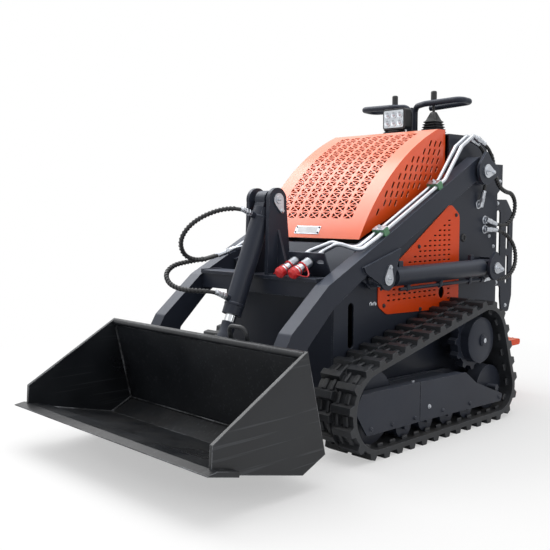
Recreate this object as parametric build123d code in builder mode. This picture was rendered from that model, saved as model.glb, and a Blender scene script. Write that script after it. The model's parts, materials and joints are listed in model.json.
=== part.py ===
from build123d import *
import os
from math import cos, hypot, radians, sin, sqrt

# A tracked, stand-on mini loader with lift arms and a bucket, in millimetres.
# The frame has +X forward, +Y to the machine's left and +Z up, and the origin is on the
# ground under the middle of the machine. Side views are drawn from the sprocket's axle, so
# the points of an outline are (forward of the axle, above the ground).

os.makedirs("parts", exist_ok=True)

# Frame
AXLE_X = -454.0           # the sprocket's axle, from the middle of the machine's length
RUN_CLEARANCE = 0.4       # between faces that turn or slide on each other
PIN_FIT = 0.15            # between a pin and the hole that holds it

# Tracks
TRACK_INNER_Y = 297.0
TRACK_WIDTH = 180.0
TRACK_MID_Y = TRACK_INNER_Y + TRACK_WIDTH / 2
TRACK_OUTER_Y = TRACK_INNER_Y + TRACK_WIDTH
BELT_THICK = 18.0
LUG_HEIGHT = 19.0
LUG_ROOT = 40.0
LUG_TIP = 24.0
LUG_COUNT = 35
LUG_MIDDLE_GAP = 6.0      # bare strip between the two rows of half-width lugs
LUG_SINK = 4.0            # how far a lug's root reaches into the belt
GROUND_RUN_Z = LUG_HEIGHT + BELT_THICK
SPROCKET_Z = 337.0
SPROCKET_R = 125.0
IDLER_X = 672.0
IDLER_R = 135.0
TAIL_X = -105.0
TAIL_R = 91.0

# Wheels inside the belt and the frame that carries them
WHEEL_WIDTH = 60.0
SPROCKET_WIDTH = 36.0
SPROCKET_TEETH = 12
TOOTH_HEIGHT = 16.0
DRUM_R = 92.0
HUB_R = 24.0
DRUM_DEPTH = 38.0
HUB_DEPTH = 14.0
MOTOR_R = 66.0
ROLLER_R = 45.0
ROLLER_X = (100.0, 235.0, 370.0, 505.0)
ROLLER_WIDTH = 110.0
AXLE_R = 13.0
FRAME_PLATE_Y = 312.0     # inner face of the plate beside the chassis
FRAME_PLATE = 10.0
COVER_Y = 457.0           # inner face of the outer cover
COVER_THICK = 8.0
COVER_SPLIT_X = 437.0
COVER_SPLIT_GAP = 4.0
COVER_FLANGE = 32.0
COVER_ROUND = 12.0

# Chassis
WALL_OUT = 290.0          # outer face of a side wall
WALL = 8.0
WALL_IN = WALL_OUT - WALL
FLOOR_Z = 150.0
NOSE_X = 717.0
NOSE_Z = 540.0
SILL_X = 590.0
SILL_Z = 735.0
HOOD_REAR_X = 30.0
SHOULDER_Z = 983.0        # where the wall's slope meets the deck
DECK_Z = 1168.0
DECK_FRONT_X = 20.0
DECK_REAR_X = -235.0
REAR_X = -357.0
SHELF_X = -397.0
SHELF_TOP_Z = 1058.0
SHELF_LOW_Z = 960.0
SHELF_FOOT_Z = 930.0
DECK_SHEET = 6.0
DECK_BEND_R = 73.0
STRAP_SLOT_X = 624.0
STRAP_SLOT_Z = 441.0
STRAP_SLOT_LENGTH = 168.0
STRAP_SLOT_WIDTH = 32.0
PANEL_THICK = 4.0
PANEL_CORNER_R = 32.0
PANEL_LAP = 34.0          # how far a side panel laps the wall round its opening
PANEL_SLOT = (17.0, 6.0)
PANEL_SLOT_PITCH = (33.0, 20.0)
PANEL_SLOT_MARGIN = 40.0
PORTHOLE = (66.0, 525.0)  # the oval hand hole
PORTHOLE_SIZE = (38.0, 48.0)
PORTHOLE_RIM = 16.0

# Hood
HOOD_HALF = 276.0
HOOD_SHEET = 4.0
HOOD_GAP = 6.0
HOOD_TOP_Z = 1184.0
HOOD_FLAT_X = 80.0
HOOD_MID = (340.0, 1030.0)
HOOD_FRONT = (566.0, 752.0)
HINGE_X = 36.0
HINGE_Z = 1178.0
HINGE_PIN_R = 5.0
HINGE_KNUCKLE_R = 10.0
HINGE_Y = 190.0
HINGE_LENGTH = 60.0
HINGE_LUG = 6.0
HINGE_LUG_GAP = 4.0
HINGE_NOTCH_X = 58.0
CHEEK_SLOT = (30.0, 10.0)
CHEEK_SLOT_PITCH = (33.0, 34.0)
CHEEK_SLOT_SHIFT = 8.0    # how far each row of slots lies ahead of the row above it
CHEEK_SLOT_LEAN = 120.0   # degrees from level, with the tops leaning back
CHEEK_SLOT_MARGIN = 26.0
GRILLE_COLUMNS = 7
GRILLE_ROWS = 17
GRILLE_PITCH = 59.5       # across the hood, from column to column
GRILLE_CELL = 45.0        # width of a column
GRILLE_ROW = 32.0         # from row to row, along the curve
GRILLE_BAR = 5.0
GRILLE_START = 34.0       # from the curve's top to the first row

# Lift arms
ARM_IN = 312.0
ARM_OUT = 372.0
ARM_MID = (ARM_IN + ARM_OUT) / 2
PIVOT = (-95.0, 1018.0)
PIVOT_BOSS_R = 58.0
PIVOT_PIN_R = 20.0
EAR_IN = 384.0
EAR_THICK = 13.0
EAR_TIP_R = 10.0
KEEPER_THICK = 6.0
KEEPER_RIM = 8.0
KEEPER_TAIL_R = 9.0
EAR_LOBE_R = 20.0         # round end of an ear behind its pin, where the web meets it
GUSSET = 10.0
LIFT_ROD_PIN = (527.0, 612.0)
LIFT_BASE_PIN = (-183.0, 617.0)
LIFT_PIN_R = 16.0
CROSS_REAR_X = 725.0
CROSS_FRONT_X = 832.0
CROSS_TOP_Z = 624.0
CROSS_PLATE = 12.0
CROSS_TUBE_DEPTH = 56.0
CROSS_TUBE_REAR_X = 750.0
CROSS_TUBE_FRONT_X = 822.0
CROSS_TUBE_WALL = 8.0
TOWER_IN = 46.0
TOWER_PLATE = 16.0
TILT_BASE_PIN = (770.0, 897.0)
TILT_PIN_R = 16.0
TOWER_HEAD_R = 44.0
TOWER_RIB_X = 762.0
TOWER_RIB = 10.0
TOWER_RIB_OUT = 52.0
TOWER_RIB_RISE = 165.0
ARM_KNEE_R = 24.0

# Hydraulic tubes on the left arm, and the couplers that they end at
TUBE_R = 8.0
TUBE_Y = (327.0, 357.0)
CLAMP_X = (185.0, 515.0)
CLAMP_LENGTH = 28.0
CLAMP_WIDTH = 54.0
CLAMP_HEIGHT = 28.0
TUBE_END = 30.0           # a tube's straight end at its coupler
TUBE_RISE = 14.0          # from the arm's top to the middle of a tube
COUPLER_Y = (160.0, 225.0)
COUPLER_REAR = (735.0, 697.0)
COUPLER_LEAN = -25.0
COUPLER_R = 16.0
COUPLER_NUT_R = 13.0
COUPLER_BODY = 62.0
COUPLER_RING_R = 19.0
COUPLER_RING = 16.0
CAP_R = 20.0
CAP_DEPTH = 26.0
COUPLER_PLATE = 6.0
COUPLER_PLATE_AT = 38.0   # from a coupler's rear to the middle of its plate
HOSE_R = 7.0
FITTING_R = 11.0
FITTING_LENGTH = 22.0
TILT_TUBE_R = 6.0
PORT_R = 12.0
PORT_RISE = 16.0

# Bucket, whose back is the line from the heel's top to the lip
BACK_FOOT = (1018.0, 104.0)
BACK_TOP = (1097.0, 436.0)
HEEL = (1119.0, 60.0)
EDGE_START = (1396.0, 125.0)
BUCKET_SHEET = 8.0
BUCKET_HALF = 529.0
BUCKET_SIDE = 12.0
EDGE_OVERHANG = 25.0
EDGE_LENGTH = 116.0
EDGE_THICK = 16.0
EDGE_BEVEL = 34.0
CHEEK_TOP = (1470.0, 225.0)
LIP_R = 13.0
CHEEK_FOOT = 84.0         # how far a cheek's foot runs out over the edge
ATTACH_HALF = 400.0
ATTACH_PLATE = 14.0
ATTACH_LOW = 30.0
ATTACH_HIGH = 300.0
BUCKET_PIN_UP = 76.0      # the bucket's pin, up the back from its foot
BUCKET_PIN_BEHIND = 72.0
ROD_PIN_UP = 231.0
ROD_PIN_BEHIND = 72.0
BUCKET_PIN_R = 18.0
ARM_END_R = 45.0
ATTACH_EAR = 10.0
ATTACH_EAR_R = 38.0
ATTACH_EAR_GAP = 6.0
ROD_EAR_IN = 32.0
ROD_EAR = 14.0

# Hydraulic cylinders
BARREL_R = 36.0
BORE_R = 29.0
ROD_R = 20.0
EYE_R = 34.0
EYE_WIDTH = 50.0
CAP_LENGTH = 30.0
GLAND_LENGTH = 40.0
LIFT_BARREL_END = 636.0
TILT_BARREL_END = 448.0
ROD_TAIL = 60.0           # where the rod ends inside the barrel, past its cap
TILT_PORTS = (76.0, 395.0)
LIFT_PORT = 590.0
LIFT_PIPE_END = 16.0      # from the base pin to the rear of the pipe under the barrel
LIFT_PIPE_R = 7.0
LIFT_PIPE_DROP = 50.0

# Rear and controls
PLATFORM_REAR_X = -602.0
PLATFORM_LOW_Z = 231.0
PLATFORM_DEPTH = 28.0
PLATFORM_HALF = 280.0
PLATFORM_SHEET = 5.0
GUARD_THICK = 8.0
BAR_R = 12.5
BAR_Z = 1312.0
BAR_POST_X = -118.0
BAR_POST_Y = 15.0
LEVER_X = -130.0
LEVER_Y = 105.0
BOOT_SIZE = 96.0
BOOT_PLEATS = 5
PLEAT_HEIGHT = 11.0
PLEAT_STEP = 7.0          # how much smaller each pleat is than the one below it
BOOT_CAP = 30.0
BOOT_CAP_TAPER = 32.0
BOOT_HEIGHT = BOOT_PLEATS * PLEAT_HEIGHT + BOOT_CAP
LEVER_R = 6.0
GRIP_R = 13.0
LEVER_RISE = 66.0
GRIP_LENGTH = 54.0
LAMP_X = -8.0
LAMP_DEPTH = 40.0
LAMP_WIDTH = 120.0
LAMP_LOW_Z = 1205.0
LAMP_HEIGHT = 90.0
LAMP_CORNER_R = 14.0
LENS_THICK = 4.0
LENS_RIM = 8.0
LAMP_FOOT = 50.0
HANDLE_Y = (145.0, 228.0)
HANDLE_R = 8.0
HANDLE_UP = 375.0
HANDLE_LUG = 20.0
HANDLE_LUG_LOW = 262.0
HANDLE_LUG_HIGH = 290.0


def side(y):
    """A side view drawn from the sprocket's axle; extruding goes towards the machine's right."""
    return Plane(origin=(AXLE_X, y, 0), x_dir=(1, 0, 0), z_dir=(0, -1, 0))


def unit(a, b):
    """The direction from point a to point b."""
    length = hypot(b[0] - a[0], b[1] - a[1])
    return ((b[0] - a[0]) / length, (b[1] - a[1]) / length)


def beside(points, distance):
    """An open outline moved to its left by a distance, with its corners mitred."""
    ways = [unit(a, b) for a, b in zip(points, points[1:])]
    moved = []
    for i, (x, z) in enumerate(points):
        before = ways[max(i - 1, 0)]
        after = ways[min(i, len(ways) - 1)]
        lean = (before[0] + after[0], before[1] + after[1])
        reach = distance / (1 + before[0] * after[0] + before[1] * after[1])
        moved.append((x - lean[1] * reach, z + lean[0] * reach))
    return moved


def corners(points):
    """The corners at these points of the outline being drawn."""
    return [v for v in vertices() if any(hypot(v.X - x, v.Y - z) < 0.5 for x, z in points)]


def drop(size, tip, tip_r):
    """A round plate drawn out to a smaller round tip, as a sketch."""
    with BuildSketch() as shape:
        Circle(size)
        with Locations(tip):
            Circle(tip_r)
        make_hull()
    return shape.sketch


def slot_places(area, pitch, shift, reach):
    """Places of a grid, its rows shifted in turn, whose slots reach no further than an area."""
    box = area.bounding_box()
    face = area.faces()[0]
    rows = int((box.max.Y - box.min.Y) / pitch[1]) + 1
    columns = int((box.max.X - box.min.X) / pitch[0]) + 1
    places = []
    for row in range(rows):
        z = box.max.Y - row * pitch[1]
        first = box.min.X + (row * shift) % pitch[0]
        for column in range(columns):
            x = first + column * pitch[0]
            if all(face.is_inside((x + way * reach[0], z + way * reach[1], 0)) for way in (-1, 1)):
                places.append((x, z))
    return places


def finish(part, name):
    """Label a finished piece and write it."""
    part.label = name
    export_step(part, f"parts/{name}.step")


def finish_pair(part, name):
    """Write a left-hand piece and its mirror image."""
    with BuildPart() as left:
        add(part)
    with BuildPart() as right:
        add(mirror(part, about=Plane.XZ, mode=Mode.PRIVATE))
    finish(left.part, name + "_left")
    finish(right.part, name + "_right")


def finish_both(part, name):
    """Write a left-hand piece and its mirror image as one node."""
    with BuildPart() as both:
        add(part)
        add(mirror(part, about=Plane.XZ, mode=Mode.PRIVATE))
    finish(both.part, name)


BACK_UP = unit(BACK_FOOT, BACK_TOP)
BACK_REAR = (-BACK_UP[1], BACK_UP[0])


def behind_back(up, rear):
    """A point by its place up the bucket's back and behind it, as a side view's point."""
    x = BACK_FOOT[0] + up * BACK_UP[0] + rear * BACK_REAR[0]
    z = BACK_FOOT[1] + up * BACK_UP[1] + rear * BACK_REAR[1]
    return (x, z)


BUCKET_PIN = behind_back(BUCKET_PIN_UP, BUCKET_PIN_BEHIND)
TILT_ROD_PIN = behind_back(ROD_PIN_UP, ROD_PIN_BEHIND)

# Track belt
# columns: forward of the axle, height, radius of the belt's inner face
WHEELS = (
    (TAIL_X, GROUND_RUN_Z + TAIL_R, TAIL_R),
    (IDLER_X, GROUND_RUN_Z + IDLER_R, IDLER_R),
    (0.0, SPROCKET_Z, SPROCKET_R),
)


def belt_normals():
    """The outward direction of each straight run, from one wheel to the next."""
    normals = []
    for i, (x1, z1, r1) in enumerate(WHEELS):
        x2, z2, r2 = WHEELS[(i + 1) % len(WHEELS)]
        along = unit((x1, z1), (x2, z2))
        lean = (r1 - r2) / hypot(x2 - x1, z2 - z1)
        across = sqrt(1 - lean * lean)
        normals.append((along[0] * lean + along[1] * across, along[1] * lean - along[0] * across))
    return normals


def belt_pieces(grow):
    """The loop at a distance outside the belt's inner face, as lines and arcs in turn."""
    normals = belt_normals()
    pieces = []
    for i, (x, z, r) in enumerate(WHEELS):
        n_in = normals[i - 1]
        n_out = normals[i]
        mid = unit((0, 0), (n_in[0] + n_out[0], n_in[1] + n_out[1]))
        radius = r + grow
        start, middle, end = [(x + n[0] * radius, z + n[1] * radius) for n in (n_in, mid, n_out)]
        pieces.append((ThreePointArc(start, middle, end, mode=Mode.PRIVATE), n_in))
        x2, z2, r2 = WHEELS[(i + 1) % len(WHEELS)]
        far = (x2 + n_out[0] * (r2 + grow), z2 + n_out[1] * (r2 + grow))
        pieces.append((Line(end, far, mode=Mode.PRIVATE), n_out))
    return [piece for piece, _ in pieces]


def belt_section(grow):
    """The closed area inside the loop at that distance."""
    with BuildSketch() as section:
        with BuildLine():
            add(belt_pieces(grow))
        make_face()
    return section.sketch


def lug_places(shift):
    """The place and direction of each lug's root, walking round the belt's outer face."""
    pieces = belt_pieces(BELT_THICK)
    total = sum(piece.length for piece in pieces)
    pitch = total / LUG_COUNT
    for i in range(LUG_COUNT):
        walk = ((i + shift) * pitch) % total
        for piece in pieces:
            if walk <= piece.length:
                point = piece @ (walk / piece.length)
                way = piece % (walk / piece.length)
                yield Plane(origin=(point.X, point.Y, 0), x_dir=(way.X, way.Y, 0), z_dir=(0, 0, 1))
                break
            walk -= piece.length


ROW_WIDTH = (TRACK_WIDTH - LUG_MIDDLE_GAP) / 2
BELT_OUTER = belt_section(BELT_THICK)
BELT_INNER = belt_section(0)
# columns: outer face of the row, places of its lugs
LUG_ROWS = (
    (TRACK_OUTER_Y, [Location(place) for place in lug_places(0.0)]),
    (TRACK_INNER_Y + ROW_WIDTH, [Location(place) for place in lug_places(0.5)]),
)

with BuildPart() as track:
    with BuildSketch(side(TRACK_OUTER_Y)):
        add(BELT_OUTER)
        add(BELT_INNER, mode=Mode.SUBTRACT)
    extrude(amount=TRACK_WIDTH)
    for row_y, places in LUG_ROWS:
        with BuildSketch(side(row_y)):
            with Locations(*places):
                Polygon(
                    (-LUG_ROOT / 2, LUG_SINK),
                    (-LUG_TIP / 2, -LUG_HEIGHT),
                    (LUG_TIP / 2, -LUG_HEIGHT),
                    (LUG_ROOT / 2, LUG_SINK),
                    align=None,
                )
        extrude(amount=ROW_WIDTH)
finish_pair(track.part, "track")

# Sprocket with its drive drum and motor
with BuildPart() as sprocket:
    tip_r = SPROCKET_R - RUN_CLEARANCE
    with BuildSketch(side(TRACK_MID_Y + SPROCKET_WIDTH / 2)):
        with Locations((0, SPROCKET_Z)):
            Circle(tip_r - TOOTH_HEIGHT)
            with PolarLocations(tip_r - TOOTH_HEIGHT, SPROCKET_TEETH):
                Polygon((-6, -17), (TOOTH_HEIGHT - 0.6, -8), (TOOTH_HEIGHT - 0.6, 8), (-6, 17), align=None)
    extrude(amount=SPROCKET_WIDTH)
    with BuildSketch(side(TRACK_MID_Y + SPROCKET_WIDTH / 2 + DRUM_DEPTH)):
        with Locations((0, SPROCKET_Z)):
            Circle(DRUM_R)
    extrude(amount=DRUM_DEPTH)
    with BuildSketch(side(TRACK_MID_Y + SPROCKET_WIDTH / 2 + DRUM_DEPTH + HUB_DEPTH)):
        with Locations((0, SPROCKET_Z)):
            Circle(HUB_R)
    extrude(amount=HUB_DEPTH)
    with BuildSketch(side(TRACK_MID_Y - SPROCKET_WIDTH / 2)):
        with Locations((0, SPROCKET_Z)):
            Circle(MOTOR_R)
    extrude(amount=TRACK_MID_Y - SPROCKET_WIDTH / 2 - WALL_OUT)
finish_both(sprocket.part, "sprocket")

# Front idler, tail wheel and bottom rollers, on axles from the frame's plate to the cover
AXLE_LENGTH = COVER_Y - FRAME_PLATE_Y - FRAME_PLATE
# columns: forward of the axle, height, radius, width
WHEEL_ROWS = [
    (IDLER_X, GROUND_RUN_Z + IDLER_R, IDLER_R - RUN_CLEARANCE, WHEEL_WIDTH),
    (TAIL_X, GROUND_RUN_Z + TAIL_R, TAIL_R - RUN_CLEARANCE, WHEEL_WIDTH),
]
WHEEL_ROWS += [(x, GROUND_RUN_Z + ROLLER_R, ROLLER_R - RUN_CLEARANCE, ROLLER_WIDTH) for x in ROLLER_X]
with BuildPart() as wheels:
    for x, z, radius, width in WHEEL_ROWS:
        with BuildSketch(side(TRACK_MID_Y + width / 2)):
            with Locations((x, z)):
                Circle(radius)
        extrude(amount=width)
        with BuildSketch(side(COVER_Y)):
            with Locations((x, z)):
                Circle(AXLE_R)
        extrude(amount=AXLE_LENGTH)
finish_both(wheels.part, "track_wheels")

# Track frame: a plate beside the chassis, a beam out to the cover, and two stubs to the wall
FRAME_OUTLINE = ((-135, 92), (-150, 138), (60, 214), (520, 226), (690, 226), (728, 190), (700, 95))
BEAM = (150.0, 480.0, 150.0, 214.0)      # rear, front, bottom, top
STUB_X = (170.0, 400.0)
STUB_LENGTH = 80.0
with BuildPart() as track_frame:
    with BuildSketch(side(FRAME_PLATE_Y + FRAME_PLATE)):
        Polygon(*FRAME_OUTLINE, align=None)
        fillet(corners([p for p in FRAME_OUTLINE if p[0] < 0 or p[0] > IDLER_X]), 18)
    extrude(amount=FRAME_PLATE)
    with BuildSketch(side(COVER_Y)):
        with Locations(((BEAM[0] + BEAM[1]) / 2, (BEAM[2] + BEAM[3]) / 2)):
            Rectangle(BEAM[1] - BEAM[0], BEAM[3] - BEAM[2])
    extrude(amount=COVER_Y - FRAME_PLATE_Y - FRAME_PLATE)
    with BuildSketch(side(FRAME_PLATE_Y)):
        for x in STUB_X:
            with Locations((x + STUB_LENGTH / 2, (BEAM[2] + BEAM[3]) / 2)):
                Rectangle(STUB_LENGTH, BEAM[3] - BEAM[2])
    extrude(amount=FRAME_PLATE_Y - WALL_OUT)
finish_both(track_frame.part, "track_frame")

# Outer covers, in two pieces, with a flange turned in along the top
COVER_FRONT = ((COVER_SPLIT_X + COVER_SPLIT_GAP / 2, 234), (765, 240), (803, 188), (738, 92),
               (COVER_SPLIT_X + COVER_SPLIT_GAP / 2, 88))
COVER_REAR = ((COVER_SPLIT_X - COVER_SPLIT_GAP / 2, 234), (139, 228), (63, 176), (-140, 99), (-122, 72),
              (COVER_SPLIT_X - COVER_SPLIT_GAP / 2, 88))
with BuildPart() as covers:
    for outline in (COVER_FRONT, COVER_REAR):
        with BuildSketch(side(COVER_Y + COVER_THICK)):
            Polygon(*outline, align=None)
            fillet(corners(outline[1:-1]), COVER_ROUND)
        extrude(amount=COVER_THICK)
        with BuildSketch(side(COVER_Y)):
            start = outline[0]
            way = unit(start, outline[1])
            reach = hypot(outline[1][0] - start[0], outline[1][1] - start[1]) - COVER_ROUND
            flange_end = (start[0] + way[0] * reach, start[1] + way[1] * reach)
            Polygon(start, flange_end, (flange_end[0], flange_end[1] - COVER_THICK),
                    (start[0], start[1] - COVER_THICK), align=None)
        extrude(amount=COVER_FLANGE)
finish_both(covers.part, "track_cover")

# Side panels and the opening in the wall that each one covers
PANEL_OUTLINE = ((-58, 452), (-58, 840), (8, 885), (392, 640), (474, 590), (474, 500), (424, 466))


def panel_area(shrink):
    """The side panel's outline, drawn in by a distance."""
    with BuildSketch() as area:
        Polygon(*PANEL_OUTLINE, align=None)
        fillet(area.vertices(), PANEL_CORNER_R)
        if shrink:
            offset(amount=-shrink, mode=Mode.REPLACE)
    return area.sketch


hole_clear = max(PORTHOLE_SIZE) / 2 + PORTHOLE_RIM
panel_slots = [
    (x, z)
    for x, z in slot_places(panel_area(PANEL_SLOT_MARGIN), PANEL_SLOT_PITCH, 0, (PANEL_SLOT[0] / 2, 0))
    if hypot(x - PORTHOLE[0], z - PORTHOLE[1]) > hole_clear
]
with BuildPart() as side_panel:
    with BuildSketch(side(WALL_OUT + PANEL_THICK)):
        add(panel_area(0))
        with Locations(PORTHOLE):
            Ellipse(PORTHOLE_SIZE[0] / 2, PORTHOLE_SIZE[1] / 2, mode=Mode.SUBTRACT)
        with Locations(*panel_slots):
            Rectangle(*PANEL_SLOT, mode=Mode.SUBTRACT)
    extrude(amount=PANEL_THICK)
finish_both(side_panel.part, "side_panel")

# Chassis walls
WALL_OUTLINE = (
    (NOSE_X, FLOOR_Z), (NOSE_X, NOSE_Z), (SILL_X, SILL_Z), (DECK_FRONT_X, SHOULDER_Z),
    (DECK_FRONT_X, DECK_Z), (DECK_REAR_X, DECK_Z), (-292, SHELF_TOP_Z), (SHELF_X, SHELF_TOP_Z),
    (SHELF_X, SHELF_LOW_Z), (REAR_X, SHELF_FOOT_Z), (REAR_X, FLOOR_Z),
)
with BuildPart() as wall:
    with BuildSketch(side(WALL_OUT)):
        Polygon(*WALL_OUTLINE, align=None)
        fillet(corners([(DECK_REAR_X, DECK_Z)]), DECK_BEND_R)
        with Locations((STRAP_SLOT_X, STRAP_SLOT_Z)):
            SlotOverall(STRAP_SLOT_LENGTH, STRAP_SLOT_WIDTH, rotation=90, mode=Mode.SUBTRACT)
        add(panel_area(PANEL_LAP), mode=Mode.SUBTRACT)
    extrude(amount=WALL)
finish_pair(wall.part, "side_wall")

# Nose: the front plate bent back to the sill under the hood
with BuildPart() as nose:
    with BuildSketch(side(WALL_IN)):
        with BuildLine():
            Polyline((NOSE_X - WALL / 2, FLOOR_Z), (NOSE_X - WALL / 2, NOSE_Z),
                     (SILL_X - WALL / 2, SILL_Z - WALL / 2), (SILL_X - 60, SILL_Z - WALL / 2))
        trace(line_width=WALL)
    extrude(amount=2 * WALL_IN)
finish(nose.part, "nose_plate")

with BuildPart() as belly:
    with BuildSketch(side(WALL_IN)):
        Polygon((REAR_X, FLOOR_Z), (NOSE_X - WALL, FLOOR_Z), (NOSE_X - WALL, FLOOR_Z + WALL),
                (REAR_X, FLOOR_Z + WALL), align=None)
    extrude(amount=2 * WALL_IN)
finish(belly.part, "belly_plate")

with BuildPart() as rear_panel:
    with BuildSketch(side(WALL_IN)):
        Polygon((REAR_X, FLOOR_Z + WALL), (REAR_X + WALL, FLOOR_Z + WALL),
                (REAR_X + WALL, SHELF_FOOT_Z - 8), (REAR_X, SHELF_FOOT_Z - 8), align=None)
    extrude(amount=2 * WALL_IN)
finish(rear_panel.part, "rear_panel")

# Control deck: one sheet over the top, down the back and round the rear shelf
half = DECK_SHEET / 2
with BuildPart() as deck:
    with BuildSketch(side(WALL_IN)):
        with BuildLine():
            FilletPolyline(
                (DECK_FRONT_X, DECK_Z - half), (DECK_REAR_X + 2, DECK_Z - half), (-293, SHELF_TOP_Z - half),
                (SHELF_X + half, SHELF_TOP_Z - half), (SHELF_X + half, SHELF_LOW_Z + 2),
                (REAR_X + half, SHELF_FOOT_Z + 2), (REAR_X + half, SHELF_FOOT_Z - 8),
                radius=(DECK_BEND_R - half, 12, 8, 8, 8),
            )
        trace(line_width=DECK_SHEET)
    extrude(amount=2 * WALL_IN)
finish(deck.part, "control_deck")

# Engine on its rails
ENGINE = (60.0, 430.0, 330.0, 830.0)     # rear, front, bottom, top
ENGINE_HALF = 180.0
RAIL_Y = 120.0
RAIL_HALF = 25.0
with BuildPart() as engine:
    with BuildSketch(side(ENGINE_HALF)):
        with Locations(((ENGINE[0] + ENGINE[1]) / 2, (ENGINE[2] + ENGINE[3]) / 2)):
            Rectangle(ENGINE[1] - ENGINE[0], ENGINE[3] - ENGINE[2])
    extrude(amount=2 * ENGINE_HALF)
    for y in (RAIL_Y, -RAIL_Y):
        with BuildSketch(side(y + RAIL_HALF)):
            Polygon((ENGINE[0], FLOOR_Z + WALL), (ENGINE[1], FLOOR_Z + WALL), (ENGINE[1], ENGINE[2]),
                    (ENGINE[0], ENGINE[2]), align=None)
        extrude(amount=2 * RAIL_HALF)
finish(engine.part, "engine_block")

# Hood: a curved sheet with side cheeks, open below and behind, on two hinge knuckles
HOOD_LOW_REAR = (HOOD_REAR_X, SHOULDER_Z + HOOD_GAP)
hood_arc = ThreePointArc((HOOD_FLAT_X, HOOD_TOP_Z), HOOD_MID, HOOD_FRONT, mode=Mode.PRIVATE)


def hood_area(shrink):
    """The hood's side outline, drawn in by a distance."""
    with BuildSketch() as area:
        with BuildLine():
            Polyline(HOOD_FRONT, HOOD_LOW_REAR, (HOOD_REAR_X, HOOD_TOP_Z), (HOOD_FLAT_X, HOOD_TOP_Z))
            ThreePointArc((HOOD_FLAT_X, HOOD_TOP_Z), HOOD_MID, HOOD_FRONT)
        make_face()
        if shrink:
            offset(amount=-shrink, mode=Mode.REPLACE)
    return area.sketch


def lattice_holes(half_wide, half_high):
    """The four triangular holes that crossed bars leave in a cell of the grille."""
    slant = hypot(half_wide, half_high)
    tip_up = GRILLE_BAR / 2 * slant / half_wide
    tip_out = GRILLE_BAR / 2 * slant / half_high
    reach_out = half_wide * (1 - tip_up / half_high)
    reach_up = half_high * (1 - tip_out / half_wide)
    holes = []
    for way in (-1, 1):
        holes.append(((0, way * tip_up), (reach_out, way * half_high), (-reach_out, way * half_high)))
        holes.append(((way * tip_out, 0), (way * half_wide, reach_up), (way * half_wide, -reach_up)))
    return holes


def curve_plane(walk):
    """The plane on the hood's curve at a distance along it, with its y up the curve."""
    point = hood_arc @ (walk / hood_arc.length)
    way = hood_arc % (walk / hood_arc.length)
    return Plane(origin=(AXLE_X + point.X, 0, point.Y), x_dir=(0, 1, 0), z_dir=(-way.Y, 0, way.X))


grille_holes = []
for row in range(GRILLE_ROWS):
    with BuildSketch(curve_plane(GRILLE_START + (row + 0.5) * GRILLE_ROW)) as cells:
        with GridLocations(GRILLE_PITCH, 1, GRILLE_COLUMNS, 1):
            for hole in lattice_holes(GRILLE_CELL / 2, (GRILLE_ROW - GRILLE_BAR) / 2):
                Polygon(*hole, align=None)
    grille_holes += extrude(cells.sketch, amount=2 * HOOD_SHEET, both=True).solids()
lean = radians(CHEEK_SLOT_LEAN)
slot_reach = (CHEEK_SLOT[0] / 2 * cos(lean), CHEEK_SLOT[0] / 2 * sin(lean))
cheek_slots = slot_places(hood_area(CHEEK_SLOT_MARGIN), CHEEK_SLOT_PITCH, CHEEK_SLOT_SHIFT, slot_reach)
with BuildPart() as hood:
    with BuildSketch(side(HOOD_HALF)):
        add(hood_area(0))
    extrude(amount=2 * HOOD_HALF)
    open_faces = hood.faces().sort_by(Axis.X)[0:1] + hood.faces().filter_by(
        lambda f: f.normal_at().Z < -0.5 and f.is_planar
    )
    offset(amount=-HOOD_SHEET, openings=open_faces)
    notch_half = HINGE_LENGTH / 2 + HINGE_LUG_GAP + HINGE_LUG + HINGE_LUG_GAP
    for y in (HINGE_Y, -HINGE_Y):
        with BuildSketch(side(y + notch_half)):
            Polygon((HOOD_REAR_X - 1, HOOD_TOP_Z + 1), (HINGE_NOTCH_X, HOOD_TOP_Z + 1),
                    (HINGE_NOTCH_X, HOOD_TOP_Z - 20), (HOOD_REAR_X - 1, HOOD_TOP_Z - 20), align=None)
        extrude(amount=2 * notch_half, mode=Mode.SUBTRACT)
        with BuildSketch(side(y + HINGE_LENGTH / 2)):
            Polygon((HINGE_X, HINGE_Z), (HINGE_X, HOOD_TOP_Z), (HINGE_NOTCH_X + 6, HOOD_TOP_Z),
                    (HINGE_NOTCH_X + 6, HINGE_Z), align=None)
            with Locations((HINGE_X, HINGE_Z)):
                Circle(HINGE_KNUCKLE_R)
                Circle(HINGE_PIN_R + RUN_CLEARANCE, mode=Mode.SUBTRACT)
        extrude(amount=HINGE_LENGTH)
    with BuildSketch(side(HOOD_HALF + 1)) as slots:
        with Locations(*cheek_slots):
            SlotOverall(*CHEEK_SLOT, rotation=CHEEK_SLOT_LEAN)
    slot_cuts = extrude(slots.sketch, amount=2 * HOOD_HALF + 2, mode=Mode.PRIVATE).solids()
    add(grille_holes + slot_cuts, mode=Mode.SUBTRACT, clean=False)
finish(hood.part, "hood")

with BuildPart() as hinge_pins:
    reach = HINGE_LENGTH / 2 + HINGE_LUG_GAP + HINGE_LUG
    for y in (HINGE_Y, -HINGE_Y):
        with BuildSketch(side(y + reach)):
            with Locations((HINGE_X, HINGE_Z)):
                Circle(HINGE_PIN_R)
        extrude(amount=2 * reach)
        for edge in (y + reach, y - reach + HINGE_LUG):
            with BuildSketch(side(edge)):
                with Locations((HINGE_X, HINGE_Z)):
                    Circle(HINGE_PIN_R + 3)
                Polygon((DECK_FRONT_X, DECK_Z - DECK_SHEET), (HINGE_X - 4, DECK_Z - DECK_SHEET),
                        (HINGE_X + 8, HINGE_Z), (HINGE_X - 5, HINGE_Z + 6), (DECK_FRONT_X, DECK_Z),
                        align=None)
            extrude(amount=HINGE_LUG)
finish(hinge_pins.part, "hood_hinges")

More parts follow.
